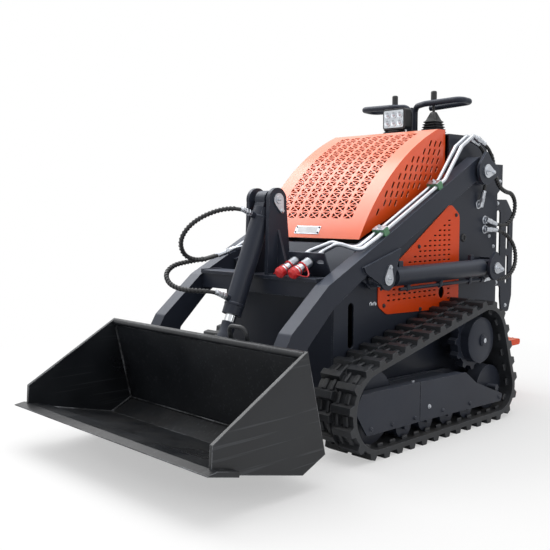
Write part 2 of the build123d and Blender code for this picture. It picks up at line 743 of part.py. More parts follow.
# Outer ears that hold the arm's pivot pin and the lift cylinder's base pin
# columns: name, pin, pin radius, ear radius, rise of its tip, web from the wall (rear, front,
# bottom, top, from the pin), way of the keeper's tail
EAR_ROWS = (
    ("pivot_bracket", PIVOT, PIVOT_PIN_R, 56.0, 68.0, (-77.0, -65.0, -18.0, 18.0), (-42.0, -4.0)),
    ("cylinder_bracket", LIFT_BASE_PIN, LIFT_PIN_R, 52.0, 58.0, (-52.0, -41.0, -24.0, 40.0), (-38.0, -8.0)),
)
for name, pin, pin_r, ear_r, tip_rise, web, _ in EAR_ROWS:
    with BuildPart() as ear:
        with BuildSketch(side(EAR_IN + EAR_THICK)):
            with Locations(pin):
                add(drop(ear_r, (0, tip_rise), EAR_TIP_R))
                add(drop(ear_r, ((web[0] + web[1]) / 2, (web[2] + web[3]) / 2), EAR_LOBE_R))
                Circle(pin_r + PIN_FIT, mode=Mode.SUBTRACT)
        extrude(amount=EAR_THICK)
        with BuildSketch(side(EAR_IN)):
            with Locations((pin[0] + (web[0] + web[1]) / 2, pin[1] + (web[2] + web[3]) / 2)):
                Rectangle(web[1] - web[0], web[3] - web[2])
        extrude(amount=EAR_IN - WALL_OUT)
    finish_both(ear.part, name)

# Pins that the chassis holds, each with a keeper on the ear's outer face
with BuildPart() as chassis_pins:
    for _, pin, pin_r, _, _, _, tail in EAR_ROWS:
        with BuildSketch(side(EAR_IN + EAR_THICK + KEEPER_THICK)):
            with Locations(pin):
                Circle(pin_r)
        extrude(amount=EAR_IN + EAR_THICK + KEEPER_THICK - WALL_OUT)
        with BuildSketch(side(EAR_IN + EAR_THICK + KEEPER_THICK)):
            with Locations(pin):
                add(drop(pin_r + KEEPER_RIM, tail, KEEPER_TAIL_R))
        extrude(amount=KEEPER_THICK)
    mirror(about=Plane.XZ)
finish(chassis_pins.part, "chassis_pins")

# Lift arms: a bent box beam with a boss at the pivot, an end at the bucket and a gusset
ARM_OUTLINE = (
    (-72, 1075), (660, 694), (834, 606), (1010, 459), (1044, 402), (1030, 300),
    (BUCKET_PIN[0] + ARM_END_R, BUCKET_PIN[1]), (BUCKET_PIN[0] - ARM_END_R, BUCKET_PIN[1]),
    (926, 330), (938, 404), (806, 528), (640, 626), (-112, 1003),
)
GUSSET_OUTLINE = ((452, 720), (478, 640), (496, 590), (560, 590), (650, 640), (660, 660))
GUSSET_EYE_R = 42.0
with BuildPart() as arm:
    with BuildSketch(side(ARM_OUT)):
        Polygon(*ARM_OUTLINE, align=None)
        fillet(corners(ARM_OUTLINE[1:6] + ARM_OUTLINE[8:12]), ARM_KNEE_R)
        with Locations(PIVOT):
            Circle(PIVOT_BOSS_R)
        with Locations(BUCKET_PIN):
            Circle(ARM_END_R)
        with Locations(PIVOT):
            Circle(PIVOT_PIN_R + RUN_CLEARANCE, mode=Mode.SUBTRACT)
        with Locations(BUCKET_PIN):
            Circle(BUCKET_PIN_R + PIN_FIT, mode=Mode.SUBTRACT)
    extrude(amount=ARM_OUT - ARM_IN)
    for face_y in (ARM_OUT + GUSSET, ARM_IN):
        with BuildSketch(side(face_y)):
            Polygon(*GUSSET_OUTLINE, align=None)
            with Locations(LIFT_ROD_PIN):
                Circle(GUSSET_EYE_R)
                Circle(LIFT_PIN_R + PIN_FIT, mode=Mode.SUBTRACT)
        extrude(amount=GUSSET)
finish_pair(arm.part, "arm")

# Cross member between the arms: a top plate on a box tube
with BuildPart() as cross_member:
    with BuildSketch(side(ARM_IN)):
        Polygon((CROSS_REAR_X, CROSS_TOP_Z - CROSS_PLATE), (CROSS_REAR_X, CROSS_TOP_Z),
                (CROSS_FRONT_X, CROSS_TOP_Z), (CROSS_FRONT_X, CROSS_TOP_Z - CROSS_PLATE), align=None)
    extrude(amount=2 * ARM_IN)
    with BuildSketch(side(ARM_IN)):
        mid_x = (CROSS_TUBE_REAR_X + CROSS_TUBE_FRONT_X) / 2
        mid_z = CROSS_TOP_Z - CROSS_PLATE - CROSS_TUBE_DEPTH / 2
        wide = CROSS_TUBE_FRONT_X - CROSS_TUBE_REAR_X
        with Locations((mid_x, mid_z)):
            Rectangle(wide, CROSS_TUBE_DEPTH)
            Rectangle(wide - 2 * CROSS_TUBE_WALL, CROSS_TUBE_DEPTH - 2 * CROSS_TUBE_WALL,
                      mode=Mode.SUBTRACT)
    extrude(amount=2 * ARM_IN)
finish(cross_member.part, "cross_member")

# Tilt tower: two plates that hold the tilt cylinder's base pin
TOWER_OUTLINE = ((702, CROSS_TOP_Z), (727, 884), (813, 892), (824, CROSS_TOP_Z))
with BuildPart() as tower:
    with BuildSketch(side(TOWER_IN + TOWER_PLATE)):
        Polygon(*TOWER_OUTLINE, align=None)
        with Locations(TILT_BASE_PIN):
            Circle(TOWER_HEAD_R)
            Circle(TILT_PIN_R + PIN_FIT, mode=Mode.SUBTRACT)
    extrude(amount=TOWER_PLATE)
    with BuildSketch(Plane(origin=(AXLE_X + TOWER_RIB_X, 0, 0), x_dir=(0, 1, 0), z_dir=(1, 0, 0))):
        foot = TOWER_IN + TOWER_PLATE
        Polygon((foot, CROSS_TOP_Z), (foot + TOWER_RIB_OUT, CROSS_TOP_Z),
                (foot + TOWER_RIB_OUT, CROSS_TOP_Z + 12), (foot, CROSS_TOP_Z + TOWER_RIB_RISE), align=None)
    extrude(amount=TOWER_RIB)
    mirror(about=Plane.XZ)
finish(tower.part, "tilt_tower")


def along_cylinder(base, end, y):
    """A side view drawn from a cylinder's base pin, with x along the cylinder."""
    way = unit(base, end)
    return Plane(origin=(AXLE_X + base[0], y, base[1]), x_dir=(way[0], 0, way[1]), z_dir=(0, -1, 0))


def build_barrel(base, end, barrel_end, pin_r, mid_y, ports):
    """A barrel with its base eye, hollow for the rod and closed by a gland, with ports on its front."""
    plane = along_cylinder(base, end, mid_y)
    with BuildPart() as barrel:
        with BuildSketch(plane.offset(-EYE_WIDTH / 2)):
            Circle(EYE_R)
            Polygon((0, -EYE_R * 0.8), (EYE_R + CAP_LENGTH, -EYE_R * 0.8),
                    (EYE_R + CAP_LENGTH, EYE_R * 0.8), (0, EYE_R * 0.8), align=None)
        extrude(amount=EYE_WIDTH)
        with BuildSketch(plane):
            Polygon((EYE_R + 4, 0), (EYE_R + 4, BARREL_R), (barrel_end, BARREL_R),
                    (barrel_end, ROD_R + RUN_CLEARANCE),
                    (barrel_end - GLAND_LENGTH, ROD_R + RUN_CLEARANCE), (barrel_end - GLAND_LENGTH, BORE_R),
                    (EYE_R + CAP_LENGTH, BORE_R), (EYE_R + CAP_LENGTH, 0), align=None)
        revolve(axis=Axis(plane.origin, plane.x_dir))
        with BuildSketch(plane.offset(-EYE_WIDTH / 2)):
            Circle(pin_r + RUN_CLEARANCE)
        extrude(amount=EYE_WIDTH, mode=Mode.SUBTRACT)
        for port in ports:
            foot = plane.from_local_coords((port, BORE_R + 2, 0))
            with BuildSketch(Plane(origin=foot, z_dir=plane.y_dir)) as boss:
                Circle(PORT_R)
            extrude(boss.sketch, amount=BARREL_R + PORT_RISE - BORE_R - 2)
    return barrel.part


def build_rod(base, end, pin_r, mid_y):
    """A rod with its eye at the far pin."""
    plane = along_cylinder(base, end, mid_y)
    length = hypot(end[0] - base[0], end[1] - base[1])
    with BuildPart() as rod:
        with BuildSketch(plane):
            Polygon((EYE_R + CAP_LENGTH + ROD_TAIL, 0), (EYE_R + CAP_LENGTH + ROD_TAIL, ROD_R),
                    (length, ROD_R), (length, 0), align=None)
        revolve(axis=Axis(plane.origin, plane.x_dir))
        with BuildSketch(plane.offset(-EYE_WIDTH / 2)):
            with Locations((length, 0)):
                Circle(EYE_R)
        extrude(amount=EYE_WIDTH)
        with BuildSketch(plane.offset(-EYE_WIDTH / 2)):
            with Locations((length, 0)):
                Circle(pin_r + RUN_CLEARANCE)
        extrude(amount=EYE_WIDTH, mode=Mode.SUBTRACT)
    return rod.part


# Each lift barrel has a pipe under it, from the port at its rod end back to a nut by its base
lift_plane = along_cylinder(LIFT_BASE_PIN, LIFT_ROD_PIN, ARM_MID)
with BuildPart() as lift_barrel:
    add(build_barrel(LIFT_BASE_PIN, LIFT_ROD_PIN, LIFT_BARREL_END, LIFT_PIN_R, ARM_MID, ()))
    with BuildSketch(Plane(origin=lift_plane.from_local_coords((LIFT_PIPE_END, -LIFT_PIPE_DROP, 0)),
                           x_dir=(0, 1, 0), z_dir=lift_plane.x_dir)):
        Circle(LIFT_PIPE_R)
    extrude(amount=LIFT_PORT - LIFT_PIPE_END)
    with BuildSketch(Plane(origin=lift_plane.from_local_coords((LIFT_PIPE_END, -LIFT_PIPE_DROP, 0)),
                           x_dir=(0, 1, 0), z_dir=lift_plane.x_dir)):
        Circle(FITTING_R)
    extrude(amount=FITTING_LENGTH)
    # two saddles hold the pipe to the barrel
    for along in (2 * EYE_R + CAP_LENGTH, LIFT_PORT - PORT_R):
        with BuildSketch(Plane(origin=lift_plane.from_local_coords((along, 0, 0)),
                               x_dir=(0, 1, 0), z_dir=lift_plane.x_dir)):
            with Locations((0, (BORE_R + 2 + LIFT_PIPE_DROP + LIFT_PIPE_R) / 2)):
                Rectangle(2 * LIFT_PIPE_R, LIFT_PIPE_DROP + LIFT_PIPE_R - BORE_R - 2)
        extrude(amount=2 * PORT_R)
lift_rod = build_rod(LIFT_BASE_PIN, LIFT_ROD_PIN, LIFT_PIN_R, ARM_MID)
tilt_barrel = build_barrel(TILT_BASE_PIN, TILT_ROD_PIN, TILT_BARREL_END, TILT_PIN_R, 0, TILT_PORTS)
tilt_rod = build_rod(TILT_BASE_PIN, TILT_ROD_PIN, TILT_PIN_R, 0)
finish_pair(lift_barrel.part, "lift_barrel")
finish_pair(lift_rod, "lift_rod")
finish(tilt_barrel, "tilt_barrel")
finish(tilt_rod, "tilt_rod")

# Bucket: a bent wrap of back, heel and floor between two cheeks, with a cutting edge
FLOOR_WAY = unit(HEEL, EDGE_START)
FLOOR_UP = (-FLOOR_WAY[1], FLOOR_WAY[0])


def from_edge(along, up):
    """A point by its place along the bucket's floor from the edge's start, and above it."""
    return (EDGE_START[0] + along * FLOOR_WAY[0] + up * FLOOR_UP[0],
            EDGE_START[1] + along * FLOOR_WAY[1] + up * FLOOR_UP[1])


CHEEK_IN = BUCKET_HALF - BUCKET_SIDE
WRAP_LINE = (EDGE_START, HEEL, BACK_FOOT, BACK_TOP)
BACK_LENGTH = hypot(BACK_TOP[0] - BACK_FOOT[0], BACK_TOP[1] - BACK_FOOT[1])
with BuildPart() as wrap:
    with BuildSketch(side(CHEEK_IN)):
        Polygon(*WRAP_LINE, *reversed(beside(WRAP_LINE, -BUCKET_SHEET)), align=None)
        with Locations(behind_back(BACK_LENGTH - LIP_R, -BUCKET_SHEET / 2)):
            Circle(LIP_R)
    extrude(amount=2 * CHEEK_IN)
finish(wrap.part, "bucket_wrap")

CHEEK_OUTLINE = (
    BACK_FOOT, HEEL, EDGE_START, from_edge(0, EDGE_THICK), from_edge(CHEEK_FOOT, EDGE_THICK),
    CHEEK_TOP, BACK_TOP,
)
with BuildPart() as cheeks:
    with BuildSketch(side(BUCKET_HALF)):
        Polygon(*CHEEK_OUTLINE, align=None)
    extrude(amount=BUCKET_SIDE)
    mirror(about=Plane.XZ)
finish(cheeks.part, "bucket_cheeks")

EDGE_HALF = BUCKET_HALF + EDGE_OVERHANG
with BuildPart() as cutting_edge:
    with BuildSketch(side(EDGE_HALF)):
        Polygon(from_edge(0, 0), from_edge(EDGE_LENGTH, 0), from_edge(EDGE_LENGTH, 3),
                from_edge(EDGE_LENGTH - EDGE_BEVEL, EDGE_THICK), from_edge(0, EDGE_THICK), align=None)
    extrude(amount=2 * EDGE_HALF)
finish(cutting_edge.part, "cutting_edge")


def back_view(y):
    """A side view along the bucket's back: x up the back from its foot, y behind it."""
    return Plane(origin=(AXLE_X + BACK_FOOT[0], y, BACK_FOOT[1]), x_dir=(BACK_UP[0], 0, BACK_UP[1]),
                 z_dir=(0, -1, 0))


# Attach plate with its ears: the outer pairs straddle the arms, the inner pair the rod's eye
ARM_EAR_IN = ARM_IN - ATTACH_EAR_GAP - ATTACH_EAR
ARM_EAR_OUT = ARM_OUT + ATTACH_EAR_GAP
with BuildPart() as attach_plate:
    with BuildSketch(back_view(ATTACH_HALF)):
        with Locations(((ATTACH_LOW + ATTACH_HIGH) / 2, ATTACH_PLATE / 2)):
            Rectangle(ATTACH_HIGH - ATTACH_LOW, ATTACH_PLATE)
    extrude(amount=2 * ATTACH_HALF)
    # columns: ear's outer face, thickness, place up the back, distance behind it, pin radius
    for face_y, thick, up, rear, pin_r, fit in (
        (ARM_EAR_OUT + ATTACH_EAR, ATTACH_EAR, BUCKET_PIN_UP, BUCKET_PIN_BEHIND, BUCKET_PIN_R, RUN_CLEARANCE),
        (ARM_EAR_IN + ATTACH_EAR, ATTACH_EAR, BUCKET_PIN_UP, BUCKET_PIN_BEHIND, BUCKET_PIN_R, RUN_CLEARANCE),
        (ROD_EAR_IN + ROD_EAR, ROD_EAR, ROD_PIN_UP, ROD_PIN_BEHIND, TILT_PIN_R, PIN_FIT),
    ):
        for y in (face_y, -face_y + thick):
            with BuildSketch(back_view(y)):
                with Locations((up, (rear + ATTACH_PLATE) / 2)):
                    Rectangle(2 * ATTACH_EAR_R, rear - ATTACH_PLATE)
                with Locations((up, rear)):
                    Circle(ATTACH_EAR_R)
                    Circle(pin_r + fit, mode=Mode.SUBTRACT)
            extrude(amount=thick)
    for y in HANDLE_Y:
        with BuildSketch(back_view(y + HANDLE_LUG / 2)):
            with Locations(((HANDLE_LUG_LOW + HANDLE_LUG_HIGH) / 2, ATTACH_PLATE + HANDLE_LUG / 2)):
                Rectangle(HANDLE_LUG_HIGH - HANDLE_LUG_LOW, HANDLE_LUG)
        extrude(amount=HANDLE_LUG)
finish(attach_plate.part, "attach_plate")

# Latch handle: a bent bar on two lugs
HANDLE_REAR = ATTACH_PLATE + HANDLE_LUG / 2
handle_points = [
    (AXLE_X + behind_back(up, HANDLE_REAR)[0], y, behind_back(up, HANDLE_REAR)[1])
    for up, y in ((HANDLE_LUG_HIGH, HANDLE_Y[0]), (HANDLE_UP, HANDLE_Y[0]),
                  (HANDLE_UP, HANDLE_Y[1]), (HANDLE_LUG_HIGH, HANDLE_Y[1]))
]
with BuildPart() as handle:
    with BuildLine() as route:
        FilletPolyline(*handle_points, radius=3 * HANDLE_R)
    with BuildSketch(Plane(origin=handle_points[0], z_dir=(BACK_UP[0], 0, BACK_UP[1]))):
        Circle(HANDLE_R)
    sweep(path=route.wires()[0])
finish(handle.part, "latch_handle")

# Pins that the arms hold: stubs at each lift rod's eye, the tilt cylinder's base pin, and
# the pins that the bucket turns on
LIFT_KEEPER_TAIL = (-6.0, 42.0)
TILT_KEEPER_TAIL = (-16.0, -40.0)
with BuildPart() as arm_pins:
    for face_y in (ARM_OUT + GUSSET, ARM_IN):
        with BuildSketch(side(face_y)):
            with Locations(LIFT_ROD_PIN):
                Circle(LIFT_PIN_R)
        extrude(amount=GUSSET)
    with BuildSketch(side(ARM_OUT + GUSSET + KEEPER_THICK)):
        with Locations(LIFT_ROD_PIN):
            add(drop(LIFT_PIN_R + KEEPER_RIM, LIFT_KEEPER_TAIL, KEEPER_TAIL_R))
    extrude(amount=KEEPER_THICK)
    with BuildSketch(back_view(ARM_EAR_OUT + ATTACH_EAR + KEEPER_THICK)):
        with Locations((BUCKET_PIN_UP, BUCKET_PIN_BEHIND)):
            Circle(BUCKET_PIN_R)
    extrude(amount=ARM_EAR_OUT + ATTACH_EAR + KEEPER_THICK - ARM_EAR_IN)
    with BuildSketch(side(TOWER_IN + TOWER_PLATE)):
        with Locations(TILT_BASE_PIN):
            Circle(TILT_PIN_R)
    extrude(amount=TOWER_IN + TOWER_PLATE)
    with BuildSketch(side(TOWER_IN + TOWER_PLATE + KEEPER_THICK)):
        with Locations(TILT_BASE_PIN):
            add(drop(TILT_PIN_R + KEEPER_RIM, TILT_KEEPER_TAIL, KEEPER_TAIL_R))
    extrude(amount=KEEPER_THICK)
    mirror(about=Plane.XZ)
finish(arm_pins.part, "arm_pins")

with BuildPart() as tilt_rod_pins:
    reach = ROD_EAR_IN + ROD_EAR + KEEPER_THICK
    with BuildSketch(back_view(reach)):
        with Locations((ROD_PIN_UP, ROD_PIN_BEHIND)):
            Circle(TILT_PIN_R)
    extrude(amount=reach - ROD_EAR_IN)
    with BuildSketch(back_view(reach)):
        with Locations((ROD_PIN_UP, ROD_PIN_BEHIND)):
            Circle(TILT_PIN_R + KEEPER_RIM)
    extrude(amount=KEEPER_THICK)
    mirror(about=Plane.XZ)
finish(tilt_rod_pins.part, "tilt_rod_pins")

# Operator's platform: a tray turned down round its edge, with a rounded rear
with BuildPart() as platform:
    with BuildSketch(side(PLATFORM_HALF)):
        Polygon((REAR_X, PLATFORM_LOW_Z), (REAR_X, PLATFORM_LOW_Z + PLATFORM_DEPTH),
                (PLATFORM_REAR_X, PLATFORM_LOW_Z + PLATFORM_DEPTH), (PLATFORM_REAR_X, PLATFORM_LOW_Z),
                align=None)
        fillet(corners([(PLATFORM_REAR_X, PLATFORM_LOW_Z),
                        (PLATFORM_REAR_X, PLATFORM_LOW_Z + PLATFORM_DEPTH)]), PLATFORM_DEPTH / 2 - 1)
    extrude(amount=2 * PLATFORM_HALF)
    with BuildSketch(Plane(origin=(AXLE_X, 0, PLATFORM_LOW_Z))):
        with Locations(((REAR_X + PLATFORM_REAR_X) / 2, 0)):
            Rectangle(REAR_X - PLATFORM_REAR_X - 36, 2 * PLATFORM_HALF - 2 * PLATFORM_SHEET)
    extrude(amount=PLATFORM_DEPTH - PLATFORM_SHEET, mode=Mode.SUBTRACT)
finish(platform.part, "platform")

# Rear guards: slotted upright plates behind the rear panel
GUARD_OUTLINE = ((REAR_X, 905), (-450, 905), (-508, 840), (-508, 470), (-484, 398), (-424, 398),
                 (-412, 470), (-412, 520), (REAR_X, 520))
with BuildPart() as guard:
    with BuildSketch(side(WALL_IN)):
        Polygon(*GUARD_OUTLINE, align=None)
        fillet(corners(GUARD_OUTLINE[1:-1]), 16)
        with Locations((-385, 712)):
            RectangleRounded(34, 290, 12, mode=Mode.SUBTRACT)
        with Locations((-462, 590), (-462, 745)):
            SlotOverall(130, 22, rotation=90, mode=Mode.SUBTRACT)
    extrude(amount=GUARD_THICK)
finish_both(guard.part, "rear_guard")

# Hand loops: one bent tube for each hand
BAR_ROUTE = ((BAR_POST_X, BAR_POST_Y, DECK_Z), (BAR_POST_X, BAR_POST_Y, BAR_Z), (-84, 90, BAR_Z + 3),
             (-92, 264, BAR_Z + 8), (-176, 266, BAR_Z + 4), (-184, 50, BAR_Z - 4))
with BuildPart() as handlebar:
    with BuildLine(Plane(origin=(AXLE_X, 0, 0))) as route:
        FilletPolyline(*BAR_ROUTE, radius=30)
    with BuildSketch(Plane(origin=(AXLE_X + BAR_POST_X, BAR_POST_Y, DECK_Z))):
        Circle(BAR_R)
    sweep(path=route.wires()[0])
    mirror(about=Plane.XZ)
finish(handlebar.part, "hand_loops")

# Control levers, each in a pleated boot with a tapered cap


def add_pleats(x, y, low_z, size, count):
    """A stack of square pleats, each smaller than the one below it; gives the last size."""
    for pleat in range(count):
        for low, half_turn in ((0.0, -1), (0.5, 1)):
            grow = 0 if half_turn < 0 else PLEAT_HEIGHT / 2
            wide = size - pleat * PLEAT_STEP - PLEAT_HEIGHT + 2 * grow
            with BuildSketch(Plane(origin=(AXLE_X + x, y, low_z + (pleat + low) * PLEAT_HEIGHT))) as ring:
                RectangleRounded(wide, wide, PLEAT_HEIGHT)
            extrude(ring.sketch, amount=PLEAT_HEIGHT / 2, taper=45 * half_turn)
    return size - count * PLEAT_STEP - PLEAT_HEIGHT


with BuildPart() as boots:
    cap_size = add_pleats(LEVER_X, LEVER_Y, DECK_Z, BOOT_SIZE, BOOT_PLEATS)
    with BuildSketch(Plane(origin=(AXLE_X + LEVER_X, LEVER_Y, DECK_Z + BOOT_PLEATS * PLEAT_HEIGHT))):
        RectangleRounded(cap_size, cap_size, PLEAT_HEIGHT)
    extrude(amount=BOOT_CAP, taper=BOOT_CAP_TAPER)
    mirror(about=Plane.XZ)
finish(boots.part, "lever_boots")

with BuildPart() as levers:
    with BuildSketch(Plane(origin=(AXLE_X + LEVER_X, LEVER_Y, DECK_Z + BOOT_HEIGHT))):
        Circle(LEVER_R)
    extrude(amount=LEVER_RISE)
    with BuildSketch(Plane(origin=(AXLE_X + LEVER_X, LEVER_Y, DECK_Z + BOOT_HEIGHT + LEVER_RISE))):
        Circle(GRIP_R)
    extrude(amount=GRIP_LENGTH)
    fillet(levers.edges().group_by(Axis.Z)[-1], GRIP_R / 2)
    mirror(about=Plane.XZ)
finish(levers.part, "control_levers")

# Work lamp on a foot in the middle of the deck
with BuildPart() as lamp:
    with BuildSketch(Plane(origin=(AXLE_X + LAMP_X - LAMP_DEPTH / 2, 0, LAMP_LOW_Z + LAMP_HEIGHT / 2),
                           x_dir=(0, 1, 0), z_dir=(1, 0, 0))):
        RectangleRounded(LAMP_WIDTH, LAMP_HEIGHT, LAMP_CORNER_R)
    extrude(amount=LAMP_DEPTH)
    with BuildSketch(Plane(origin=(AXLE_X + LAMP_X - 8, 0, DECK_Z))):
        Rectangle(LAMP_DEPTH - 16, LAMP_FOOT)
    extrude(amount=LAMP_LOW_Z - DECK_Z)
finish(lamp.part, "work_lamp")

with BuildPart() as lens:
    with BuildSketch(Plane(origin=(AXLE_X + LAMP_X + LAMP_DEPTH / 2, 0, LAMP_LOW_Z + LAMP_HEIGHT / 2),
                           x_dir=(0, 1, 0), z_dir=(1, 0, 0))):
        RectangleRounded(LAMP_WIDTH - 2 * LENS_RIM, LAMP_HEIGHT - 2 * LENS_RIM, LAMP_CORNER_R - LENS_RIM)
    extrude(amount=LENS_THICK)
finish(lens.part, "lamp_lens")

# Twin tubes along the left arm's top, from the hoses behind the pivot to the couplers
ARM_TOP = (ARM_OUTLINE[0], ARM_OUTLINE[1])
TOP_WAY = unit(*ARM_TOP)


def over_arm(x):
    """The middle of a tube that lies along the arm's top, at a place forward of the axle."""
    walk = (x - ARM_TOP[0][0]) / TOP_WAY[0]
    return (ARM_TOP[0][0] + walk * TOP_WAY[0] - TUBE_RISE * TOP_WAY[1],
            ARM_TOP[0][1] + walk * TOP_WAY[1] + TUBE_RISE * TOP_WAY[0])


def in_place(points):
    """Points given forward of the axle, to the left and up, as places in the frame."""
    return [(AXLE_X + x, y, z) for x, y, z in points]


def sweep_round(points, radii, size):
    """A round bar along a route of straight runs and bends."""
    way = Vector(*points[1]) - Vector(*points[0])
    with BuildPart() as bar:
        with BuildLine() as route:
            FilletPolyline(*points, radius=radii)
        with BuildSketch(Plane(origin=points[0], z_dir=way.normalized())) as end:
            Circle(size)
        sweep(end.sketch, path=route.wires()[0])
    return bar.part


knee = over_arm(142)
clamped = over_arm(CLAMP_X[1] + 40)
# columns: tube's place across the arm, its bends over the cross member, coupler
TUBE_ROWS = (
    (TUBE_Y[0], ((628, 318, 722), (668, 236, 744)), COUPLER_Y[0]),
    (TUBE_Y[1], ((640, 346, 718), (694, 288, 742)), COUPLER_Y[1]),
)
lean_rad = radians(COUPLER_LEAN)
tube_end = (COUPLER_REAR[0] - TUBE_END * cos(lean_rad), COUPLER_REAR[1] - TUBE_END * sin(lean_rad))
with BuildPart() as arm_tubes:
    for y, bends, coupler_y in TUBE_ROWS:
        route = [(-92, y, 1146), (-48, y, 1160), (34, y, 1112)]
        route += [(knee[0], y, knee[1]), (clamped[0], y, clamped[1]), *bends]
        route += [(tube_end[0], coupler_y, tube_end[1]), (COUPLER_REAR[0], coupler_y, COUPLER_REAR[1])]
        add(sweep_round(in_place(route), [14, 30, 45, 60, 40, 30, 24], TUBE_R))
finish(arm_tubes.part, "arm_tubes")

# Clamps that hold both tubes to the arm
with BuildPart() as clamps:
    for x in CLAMP_X:
        low = over_arm(x)
        top_plane = Plane(origin=(AXLE_X + low[0], ARM_MID, low[1]), x_dir=(TOP_WAY[0], 0, TOP_WAY[1]),
                          z_dir=(0, -1, 0))
        with BuildSketch(top_plane.offset(-CLAMP_WIDTH / 2)):
            with Locations((0, CLAMP_HEIGHT / 2 - TUBE_RISE)):
                RectangleRounded(CLAMP_LENGTH, CLAMP_HEIGHT, 4)
        extrude(amount=CLAMP_WIDTH)
        for y in TUBE_Y:
            with BuildSketch(Plane(origin=(AXLE_X + low[0], y, low[1]), z_dir=(TOP_WAY[0], 0, TOP_WAY[1]))):
                Circle(TUBE_R + PIN_FIT)
            extrude(amount=CLAMP_LENGTH, both=True, mode=Mode.SUBTRACT)
finish(clamps.part, "tube_clamps")


def coupler_view(y):
    """A side view from a coupler's rear, with x along the coupler."""
    return Plane(origin=(AXLE_X + COUPLER_REAR[0], y, COUPLER_REAR[1]),
                 x_dir=(cos(lean_rad), 0, sin(lean_rad)), z_dir=(0, -1, 0))


# Bent plate on the cross member that carries the couplers
PLATE_TOP = 34.0          # from a coupler's axis to the plate's top edge
PLATE_ENDS = (132.0, 304.0)
PLATE_FOOT = 26.0
with BuildPart() as coupler_plate:
    axis_x = COUPLER_REAR[0] + COUPLER_PLATE_AT * cos(lean_rad)
    axis_z = COUPLER_REAR[1] + COUPLER_PLATE_AT * sin(lean_rad)
    rise = axis_z - CROSS_TOP_Z - COUPLER_PLATE / 2
    foot_x = axis_x + rise * sin(lean_rad) / cos(lean_rad)
    with BuildSketch(side(PLATE_ENDS[1])):
        with BuildLine():
            Polyline((foot_x - PLATE_FOOT, CROSS_TOP_Z + COUPLER_PLATE / 2),
                     (foot_x, CROSS_TOP_Z + COUPLER_PLATE / 2),
                     (axis_x - PLATE_TOP * sin(lean_rad), axis_z + PLATE_TOP * cos(lean_rad)))
        trace(line_width=COUPLER_PLATE)
    extrude(amount=PLATE_ENDS[1] - PLATE_ENDS[0])
    for y in COUPLER_Y:
        with BuildSketch(Plane(origin=(AXLE_X + axis_x, y, axis_z), z_dir=(cos(lean_rad), 0, sin(lean_rad)))):
            Circle(COUPLER_NUT_R + PIN_FIT)
        extrude(amount=2 * COUPLER_PLATE, both=True, mode=Mode.SUBTRACT)
    slot_y = (PLATE_ENDS[1] + COUPLER_Y[1]) / 2 + 10
    with BuildSketch(Plane(origin=(AXLE_X + axis_x, slot_y, axis_z), x_dir=(0, 1, 0),
                           z_dir=(cos(lean_rad), 0, sin(lean_rad)))):
        SlotOverall(34, 14)
    extrude(amount=2 * COUPLER_PLATE, both=True, mode=Mode.SUBTRACT)
finish(coupler_plate.part, "coupler_plate")

BODY_START = COUPLER_PLATE_AT + COUPLER_PLATE / 2
BODY_END = BODY_START + COUPLER_BODY
CAP_START = BODY_END + COUPLER_RING
with BuildPart() as couplers:
    for y in COUPLER_Y:
        view = coupler_view(y)
        with BuildSketch(view):
            Polygon((0, 0), (0, COUPLER_NUT_R), (BODY_START, COUPLER_NUT_R), (BODY_START, COUPLER_R),
                    (BODY_END, COUPLER_R), (BODY_END, COUPLER_RING_R), (CAP_START, COUPLER_RING_R),
                    (CAP_START, 0), align=None)
        revolve(axis=Axis(view.origin, view.x_dir))
finish(couplers.part, "couplers")

with BuildPart() as caps:
    for y in COUPLER_Y:
        view = coupler_view(y)
        with BuildSketch(view):
            Polygon((CAP_START, 0), (CAP_START, CAP_R), (CAP_START + CAP_DEPTH - 8, CAP_R),
                    (CAP_START + CAP_DEPTH, CAP_R - 8), (CAP_START + CAP_DEPTH, 0), align=None)
        revolve(axis=Axis(view.origin, view.x_dir))
finish(caps.part, "coupler_caps")

# Hoses: straight runs joined by round bends
TILT_WAY = unit(TILT_BASE_PIN, TILT_ROD_PIN)
LIFT_WAY = unit(LIFT_BASE_PIN, LIFT_ROD_PIN)
PORT_FACE = BARREL_R + PORT_RISE


def by_tilt_barrel(along, out):
    """A point in front of the tilt barrel, by its distance along it and out from its axis."""
    return (TILT_BASE_PIN[0] + along * TILT_WAY[0] - out * TILT_WAY[1], 0,
            TILT_BASE_PIN[1] + along * TILT_WAY[1] + out * TILT_WAY[0])


def under_lift_barrel(along):
    """A point on the axis of the pipe under the left lift barrel."""
    return (LIFT_BASE_PIN[0] + along * LIFT_WAY[0] + LIFT_PIPE_DROP * LIFT_WAY[1], ARM_MID,
            LIFT_BASE_PIN[1] + along * LIFT_WAY[1] - LIFT_PIPE_DROP * LIFT_WAY[0])


